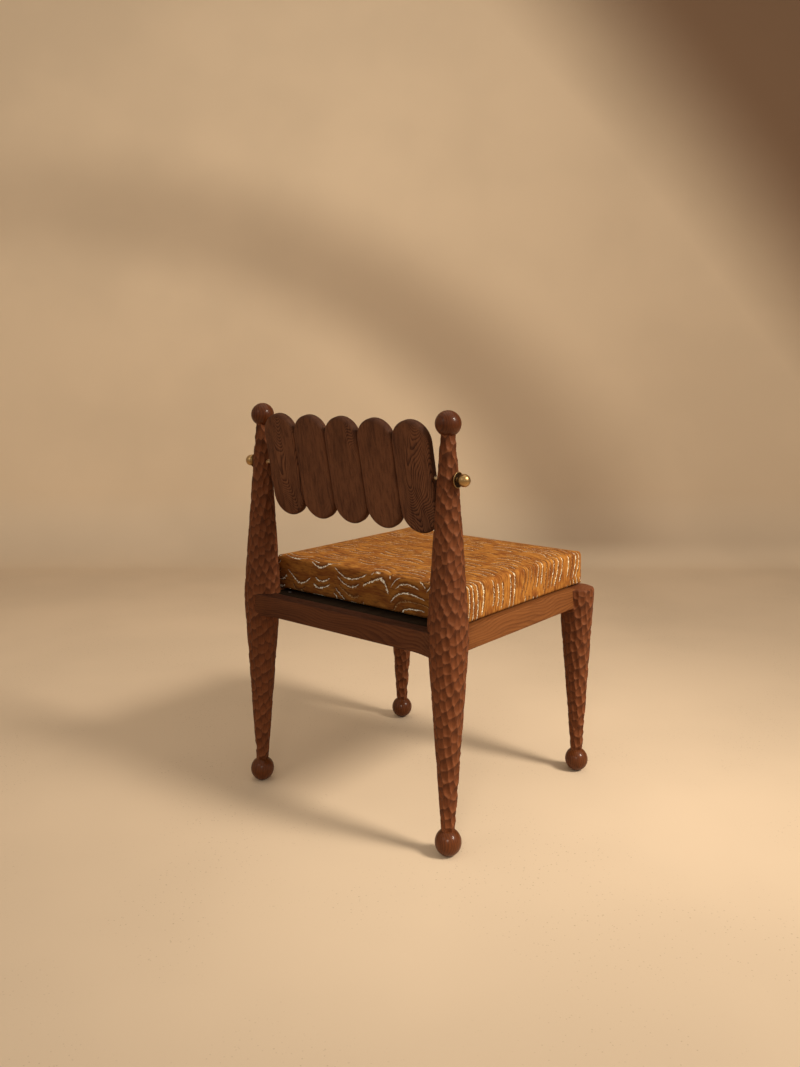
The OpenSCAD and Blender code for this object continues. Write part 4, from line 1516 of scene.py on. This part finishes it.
@dataclass
class BackSlats:
    """The five upright slats of the back, each a flat board with half-round ends and well-rounded edges."""

    count: int = 5
    width: float = 88.0 * MM
    length: float = 221.0 * MM
    thickness: float = 22.0 * MM
    edge_r: float = 7.0 * MM
    crown: float = 0.6 * MM
    centre_r: float = 0.4 * MM
    lean: float = 12.0
    rod_height: float = ROD_HEIGHT
    rod_up: float = 1.0 * MM
    outline_points: int = 160
    swirled: tuple[int, ...] = (1, 5)
    near_trunk: float = 8.0 * MM
    far_trunk: Span = (45.0 * MM, 75.0 * MM)
    below_trunk: Span = (12.0 * MM, 22.0 * MM)
    trunk_tilt: Span = (0.10, 0.16)
    end_rise: float = 1.2
    cleft_rise: float = 1.3
    finish: WalnutFinish = WalnutFinish("slat_walnut", rgb(0.192, 0.074, 0.034), rgb(0.029, 0.010, 0.006),
                                        roughness=0.45, ring_width=0.0016, contrast=0.62, streaks=1.2,
                                        bend=0.07, relief=0.2, tooled=True, shine=0.10)

    def outline(self, inset: np.ndarray) -> np.ndarray:
        """Capsule outline moved inward: two straight sides joined by half circles.

        Args:
            inset: how far each ring is moved inward.

        Returns:
            Rings of x and z, shape (rings, points, 2).
        """
        quarter = self.outline_points // 4
        straight = (self.length - self.width) / 2
        bend = np.linspace(0.0, math.pi, 2 * quarter - 1)
        top = np.stack([np.cos(bend), np.sin(bend)], axis=-1)
        side = np.linspace(1.0, -1.0, quarter + 2)[1:-1]
        radius = (self.width / 2 - inset)[:, None]
        upper = np.stack([radius * top[:, 0], straight + radius * top[:, 1]], axis=-1)
        left = np.stack([-radius + 0.0 * side, straight * side + 0.0 * radius], axis=-1)
        lower = -upper
        right = -left
        return np.concatenate([upper, left, lower, right], axis=1)

    def slat(self, name: str, centre_x: float, pivot_y: float, seed: int) -> bpy.types.Object:
        """Builds one slat around the rod's line and leans it back.

        The rings run from the middle of one face to its rim, round the edge, and to the middle of the other
        face. The swirled slats are sawn near the middle of the trunk, the others farther out. The end grain
        of the rounded ends is darkened, and painted shade darkens the clefts between the slats.

        Args:
            name: the piece's name.
            centre_x: the slat's middle along X.
            pivot_y: the rod's place along Y.
            seed: moves the grain.

        Returns:
            The slat.
        """
        half = self.thickness / 2
        middle = self.width / 2 - self.centre_r
        face = np.linspace(middle, self.edge_r, 8)
        bend = np.linspace(0.0, math.pi / 2, 10)[1:]
        edge_inset = self.edge_r * (1 - np.sin(bend))
        inset = np.concatenate([face, edge_inset, edge_inset[::-1], face[::-1]])
        edge_level = half - self.edge_r + self.edge_r * np.cos(bend)
        face_level = np.full(len(face), half)
        level = np.concatenate([face_level, edge_level, -edge_level[::-1], -face_level[::-1]])
        bulge = self.crown * (1.0 - np.clip(1.0 - inset / middle, 0.0, 1.0) ** 2)
        level = level + np.sign(level) * (bulge - self.crown)
        flat = self.outline(inset)
        x = flat[..., 0]
        along = flat[..., 1] - self.rod_up
        depth = np.broadcast_to(level[:, None], x.shape)
        lean = math.radians(self.lean)
        y = depth * math.cos(lean) + along * math.sin(lean)
        z = along * math.cos(lean) - depth * math.sin(lean)
        grid = np.stack([x + centre_x, y + pivot_y, z + self.rod_height], axis=-1)
        piece = tube_object(name, grid)
        dice = np.random.default_rng(seed)
        aside = self.near_trunk if seed in self.swirled else dice.uniform(*self.far_trunk)
        below = dice.uniform(*self.below_trunk)
        tilt = dice.uniform(*self.trunk_tilt) * dice.choice([-1.0, 1.0])
        plank = np.stack([x + aside, depth + below + tilt * along, along + 0.4 * seed], axis=-1)
        write_vectors(piece, "grain", plank.reshape(-1, 3))
        beyond = np.maximum(np.abs(flat[..., 1]) - (self.length - self.width) / 2, 0.0) / (self.width / 2)
        rim = smooth(1.0 - inset / self.edge_r)[:, None]
        rounded = smooth(beyond * self.end_rise)
        end_grain = rounded * rim
        # Painted shade in the clefts between neighbouring slats.
        cleft_shade = (1.0 - smooth(self.cleft_rise * np.abs(level) / half))[:, None] * (1.0 - rounded)
        marks = np.stack([cleft_shade, 0.0 * cleft_shade, end_grain], axis=-1)
        write_vectors(piece, "painted_light_and_end_grain", marks.reshape(-1, 3))
        return piece

    def build(self) -> list[bpy.types.Object]:
        """Builds the slats. Number 1 is at the sitter's left.

        Returns:
            The slats.
        """
        material = self.finish.make()
        low, high = node_box("pivot_rod")
        made = []
        for number in range(1, self.count + 1):
            node = f"back_slat_{number}"
            slat_low, slat_high = node_box(node)
            middle_x = (slat_low[0] + slat_high[0]) / 2
            piece = self.slat(f"rounded_{node}", middle_x, (low[1] + high[1]) / 2, number)
            piece.data.materials.append(material)
            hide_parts(node)
            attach(piece, "backrest")
            made.append(piece)
        return made


@dataclass
class Brassware:
    """The dished rosettes and the ball knobs on the rod's ends."""

    flat_x: float = POST_FLAT_X
    hub_r: float = 6.5 * MM
    rim_r: float = 14.5 * MM
    bright_rim: float = 0.8 * MM
    bore_r: float = 3.8 * MM
    dish: float = 4.0 * MM
    dish_power: float = 1.6
    sheet: float = 1.3 * MM
    knob_r: float = 12.0 * MM
    knob_x: float = 36.0 * MM
    neck_r: float = 4.6 * MM
    neck_start: float = 20.4 * MM
    bore_share: float = 0.55
    slim_share: float = 0.86
    collar: float = 1.2 * MM
    collar_slope: float = 0.7 * MM
    finish: MetalFinish = MetalFinish("satin_brass", rgb(0.47, 0.29, 0.12), rgb(0.32, 0.20, 0.08), 0.28)
    patina: MetalFinish = MetalFinish("dark_patina", rgb(0.060, 0.036, 0.018), rgb(0.030, 0.018, 0.010), 0.45)

    def outward(self, side: Side) -> Callable[[np.ndarray], np.ndarray]:
        """Finds the move from a drawing about +Z to the rod's line at a post.

        Args:
            side: the post's side.

        Returns:
            A function that moves points so that their +Z points outward along the rod.
        """
        low, high = node_box(f"rear_post_{side.word}")
        axis_x, axis_y = (low + high)[:2] / 2
        rod_low, rod_high = node_box("pivot_rod")
        rod_z = (rod_low[2] + rod_high[2]) / 2

        def move(points: np.ndarray) -> np.ndarray:
            """Turns about Y so that +Z points outward, which keeps the faces pointing outward."""
            x, y, z = points[..., 0], points[..., 1], points[..., 2]
            return np.stack([axis_x + side.value * z, axis_y + y, rod_z - side.value * x], axis=-1)
        return move

    def rosette(self, side: Side) -> bpy.types.Object:
        """Builds a thin disc with a dish that rises outward as a power of the distance from its hub.

        Args:
            side: the side of the chair.

        Returns:
            The disc.
        """
        share = np.linspace(0.0, 1.0, 14)
        radius = self.hub_r + (self.rim_r - self.hub_r) * share
        rise = self.dish * share ** self.dish_power
        back = np.stack([radius, rise], axis=-1)
        rim = np.linspace(-math.pi / 2, math.pi / 2, 7)[1:-1]
        lip_r = self.sheet / 2
        lip = np.stack([self.rim_r + lip_r * np.cos(rim), self.dish + lip_r + lip_r * np.sin(rim)], axis=-1)
        front = back[::-1] + np.array([0.0, self.sheet])
        inner = np.array([[self.bore_r, 0.0]])
        outer = np.array([[self.bore_r, self.sheet]])
        profile = np.concatenate([inner, back, lip, front, outer])
        place = self.outward(side)
        return revolve(f"dished_rosette_{side.word}", profile,
                       lambda points: place(points + np.array([0.0, 0.0, self.flat_x])), 72, sharp=50.0)

    def knob(self, side: Side) -> bpy.types.Object:
        """Builds a polished ball on a short neck with a small collar at its foot.

        Args:
            side: the side of the chair.

        Returns:
            The knob.
        """
        slim_r = self.slim_share * self.neck_r
        collar_top = self.neck_start + self.collar
        foot = np.array([[self.bore_share * self.neck_r, self.neck_start], [self.neck_r, self.neck_start],
                         [self.neck_r, collar_top], [slim_r, collar_top + self.collar_slope]])
        meet = self.knob_x - math.sqrt(self.knob_r ** 2 - slim_r ** 2)
        neck = np.array([[slim_r, meet]])
        start = -math.acos(slim_r / self.knob_r)
        rise = np.linspace(start, math.pi / 2 - 0.02, 34)[1:]
        ball = np.stack([self.knob_r * np.cos(rise), self.knob_x + self.knob_r * np.sin(rise)], axis=-1)
        return revolve(f"polished_knob_{side.word}", np.concatenate([foot, neck, ball]), self.outward(side),
                       72, sharp=50.0)

    def build(self) -> list[bpy.types.Object]:
        """Builds the rosettes and knobs.

        Returns:
            The pieces.
        """
        brass = self.finish.make()
        patina = self.patina.make()
        made = []
        for side in Side:
            disc = self.rosette(side)
            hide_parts(f"rosette_{side.word}")
            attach(disc, "chair_frame")
            ball = self.knob(side)
            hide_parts(f"ball_knob_{side.word}")
            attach(ball, f"knob_{side.word}")
            made += [disc, ball]
        for piece in made:
            piece.data.materials.append(brass)
            if piece.name.startswith("dished"):
                self.darken_dish(piece, patina)
        return made

    def darken_dish(self, disc: bpy.types.Object, patina: bpy.types.Material) -> None:
        """Gives the patina to the faces of the dish that look outward and lie inside its rim.

        Args:
            disc: the rosette, which is changed.
            patina: the dark finish.
        """
        disc.data.materials.append(patina)
        normals = read_values(disc.data.polygons, "normal")
        points = read_values(disc.data.polygons, "center")
        rod_low, rod_high = node_box("pivot_rod")
        rod = (rod_low + rod_high) / 2
        from_rod = np.hypot(points[:, 1] - rod[1], points[:, 2] - rod[2])
        outward = normals[:, 0] * np.sign(points[:, 0].mean()) > 0.2
        inside = outward & (from_rod < self.rim_r - self.bright_rim)
        disc.data.polygons.foreach_set("material_index", inside.astype(np.int32))


@dataclass
class BoxCushion:
    """The box cushion: a crowned closed form with drawn-in sides, swelled by a cloth simulation."""

    corner_r: float = 8.0 * MM
    upper_edge: float = 10.0 * MM
    lower_edge: float = 7.0 * MM
    crown: float = 4.0 * MM
    draw: float = 3.0 * MM
    steps: int = 61
    even_spread: float = 0.98
    cap: float = 3.0 * MM
    pressure: float = 4.0
    stretch_stiffness: float = 18.0
    bending_stiffness: float = 0.6
    last_frame: int = 20
    over_top: float = 1.25

    def start_form(self, low: np.ndarray, high: np.ndarray) -> bpy.types.Object:
        """Makes the form before swelling.

        It is a rounded box: each point of a cube's grid goes to the nearest point of an inner box, plus the
        rounding along the way from it. Then the sides are drawn in between the corners, and the top gets its
        crown.

        Args:
            low: lowest corner of the space for the cushion.
            high: highest corner of that space.

        Returns:
            The closed object.
        """
        centre = (low + high) / 2
        half = (high - low) / 2
        half[2] -= self.crown / 2
        centre[2] -= self.crown / 2
        line = np.linspace(-1.0, 1.0, self.steps)
        u, v = np.meshgrid(line, line, indexing="ij")
        one = np.ones_like(u)
        faces = [(u, v, one), (v, u, -one), (one, u, v), (-one, v, u), (v, one, u), (u, -one, v)]
        cube = np.stack([np.stack(face, axis=-1) for face in faces]).reshape(-1, 3)
        spread = np.sin(cube * math.pi / 2 * self.even_spread) / math.sin(math.pi / 2 * self.even_spread)
        place = spread * half
        edge = np.where(cube[:, 2] > 0.0, self.upper_edge, self.lower_edge)
        corner = np.full(len(cube), self.corner_r)
        rounding = np.stack([corner, corner, edge], axis=-1)
        core = np.clip(place, -(half - rounding), half - rounding)
        away = (place - core) / rounding
        length = np.maximum(np.linalg.norm(away, axis=1, keepdims=True), 1e-9)
        place = core + away / np.maximum(length, 1.0) * rounding
        share = place / half
        place[:, 0] -= self.draw * share[:, 0] * (1 - share[:, 1] ** 2)
        place[:, 1] -= self.draw * share[:, 1] * (1 - share[:, 0] ** 2)
        top = smooth((share[:, 2] + 1.0) / 2.0)
        place[:, 2] += self.crown * top * (1 - share[:, 0] ** 2) * (1 - share[:, 1] ** 2)
        face_quads = faces_of_grid(self.steps, self.steps, wrap=False)
        quads = np.concatenate([face_quads + k * self.steps ** 2 for k in range(6)])
        return make_object("box_cushion", place + centre, quads[:, ::-1])

    def swell(self, cushion: bpy.types.Object, low: np.ndarray, high: np.ndarray) -> None:
        """Swells the form under pressure, limits how far each point moves and fits the whole to its space.

        Args:
            cushion: the form, which is changed.
            low: lowest corner of the space for the cushion.
            high: highest corner of that space.
        """
        self.apply(cushion, "WELD", merge_threshold=0.01 * MM)
        before = read_points(cushion.data)
        cloth = cushion.modifiers.new("cloth", "CLOTH")
        cloth.settings.quality = 5
        cloth.settings.use_pressure = True
        cloth.settings.uniform_pressure_force = self.pressure
        cloth.settings.effector_weights.gravity = 0.0
        cloth.settings.tension_stiffness = self.stretch_stiffness
        cloth.settings.compression_stiffness = self.stretch_stiffness
        cloth.settings.bending_stiffness = self.bending_stiffness
        cloth.point_cache.frame_end = self.last_frame
        scene = bpy.context.scene
        for number in range(1, self.last_frame + 1):
            scene.frame_set(number)
        graph = bpy.context.evaluated_depsgraph_get()
        after = read_points(cushion.evaluated_get(graph).to_mesh())
        cushion.modifiers.remove(cloth)
        scene.frame_set(1)
        move = after - before
        length = np.linalg.norm(move, axis=1, keepdims=True)
        move *= np.minimum(1.0, self.cap / np.maximum(length, 1e-9))
        place = before + move
        place[:, 2] = np.maximum(place[:, 2], low[2])
        span = place.max(axis=0) - place.min(axis=0)
        place = low + (place - place.min(axis=0)) * (high - low) / span
        cushion.data.vertices.foreach_set("co", place.astype(np.float32).reshape(-1))
        cushion.data.update()

    def apply(self, piece: bpy.types.Object, kind: str, **settings: object) -> None:
        """Adds one modifier, sets it and applies it.

        Args:
            piece: the object, which is changed.
            kind: the modifier's type.
            **settings: its properties.
        """
        modifier = piece.modifiers.new(kind.lower(), kind)
        for key, value in settings.items():
            setattr(modifier, key, value)
        bpy.context.view_layer.objects.active = piece
        bpy.ops.object.modifier_apply(modifier=modifier.name)

    def lay_cloth(self, piece: bpy.types.Object, low: np.ndarray, high: np.ndarray) -> None:
        """Writes the UV map "cloth", in metres on the cloth, and two attributes that tell the faces apart.

        They are "upward", the rise of the normal, and "fore_aft", its size along Y.

        The cloth folds over the upper edges. On the sides at +X and -X u goes on down the side, and on the
        rear and front faces v goes on down the face.

        Args:
            piece: the cushion.
            low: lowest corner of its space.
            high: highest corner of its space.
        """
        mesh = piece.data
        points = read_points(mesh) - (low + high) / 2
        top = (high - low)[2] / 2
        corner = read_values(mesh.loops, "vertex_index", 1, np.int32)[:, 0]
        sizes = read_values(mesh.polygons, "loop_total", 1, np.int32)[:, 0]
        way = np.repeat(np.abs(read_values(mesh.polygons, "normal")), sizes, axis=0)
        ends = (way[:, 1] > way[:, 2] * self.over_top) & (way[:, 1] > way[:, 0])
        x, y, z = points[corner].T
        down = np.maximum(0.0, top - z)
        u = np.where(ends, x, np.sign(x) * (np.abs(x) + down))
        v = np.where(ends, np.sign(y) * (np.abs(y) + down), y)
        lift = read_values(mesh.vertices, "normal")
        for name, values in (("upward", lift[:, 2]), ("fore_aft", np.abs(lift[:, 1]))):
            attribute = mesh.attributes.new(name, "FLOAT", "POINT")
            attribute.data.foreach_set("value", np.ascontiguousarray(values))
        layer = mesh.uv_layers.new(name="cloth")
        layer.data.foreach_set("uv", np.stack([u, v], axis=-1).astype(np.float32).reshape(-1))

    def build(self) -> list[bpy.types.Object]:
        """Builds the cushion.

        Returns:
            The cushion in a list.
        """
        low, high = node_box("cushion_cover")
        cushion = self.start_form(low, high)
        self.swell(cushion, low, high)
        self.lay_cloth(cushion, low, high)
        cushion.data.materials.append(CushionFabricFinish().make())
        cushion.data.polygons.foreach_set("use_smooth", np.ones(len(cushion.data.polygons), bool))
        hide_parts("cushion_cover", "cushion_foam")
        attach(cushion, "chair_frame")
        return [cushion]


class InnerParts:
    """The pieces that keep their CAD shape: deck, blocks, screws, strips, dowels, rod, bushings, glides."""

    def finishes(self) -> dict[str, bpy.types.Material]:
        """Makes the finishes of the inner parts.

        Returns:
            The material for each start of a node's name.
        """
        brass = MetalFinish("rod_brass", rgb(0.80, 0.60, 0.36), rgb(0.55, 0.38, 0.20), 0.45).make()
        steel = MetalFinish("zinc_steel", rgb(0.62, 0.62, 0.63), rgb(0.38, 0.38, 0.39), 0.35).make()
        beech = PlainWoodFinish("planed_beech", rgb(0.58, 0.38, 0.22), rgb(0.40, 0.24, 0.12),
                                turn=(0.0, math.pi / 2, 0.0)).make()
        # Painted shade: the deck's near-black colour fills the dark band under the cushion, where the rail's
        # top lies in shade.
        board = PlainWoodFinish("deck_painted_shade", rgb(0.014, 0.008, 0.004), rgb(0.008, 0.004, 0.002),
                                roughness=0.85, shine=0.05, turn=(math.pi / 2, 0.0, 0.0)).make()
        plastic = GripFinish("glide_plastic", rgb(0.05, 0.047, 0.045), 60.0).make()
        tape = GripFinish("hook_tape", rgb(0.02, 0.02, 0.02), 400.0).make()
        return {"pivot_rod": brass, "rod_bushing": brass, "ball_dowel_screws": steel,
                "corner_block_screws": steel, "deck_screws": steel, "corner_block": beech,
                "slat_dowels": beech, "seat_deck": board, "foot_glide": plastic, "grip_strip": tape}

    def build(self) -> list[bpy.types.Object]:
        """Dresses the kept CAD nodes.

        Returns:
            The dressed nodes.
        """
        finishes = self.finishes()
        made = []
        for node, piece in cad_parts.items():
            starts = [start for start in finishes if node.startswith(start)]
            if not starts:
                continue
            material = finishes[max(starts, key=len)]
            piece.data.materials.clear()
            piece.data.materials.append(material)
            made.append(piece)
        return made


def main() -> None:
    """Builds the studio and the chair, and reports each piece."""
    logging.basicConfig(level=logging.INFO, format="%(message)s")
    studio = Studio()
    studio.add_camera()
    studio.add_lights()
    studio.add_room()
    for maker in (CarvedLegs(), Balls(), Rails(), BackSlats(), Brassware(), BoxCushion(), InnerParts()):
        for piece in maker.build():
            LOG.info("%s: %s, %d faces", type(maker).__name__, piece.name, len(piece.data.polygons))
    bpy.context.view_layer.update()


if __name__ == "__main__":
    main()
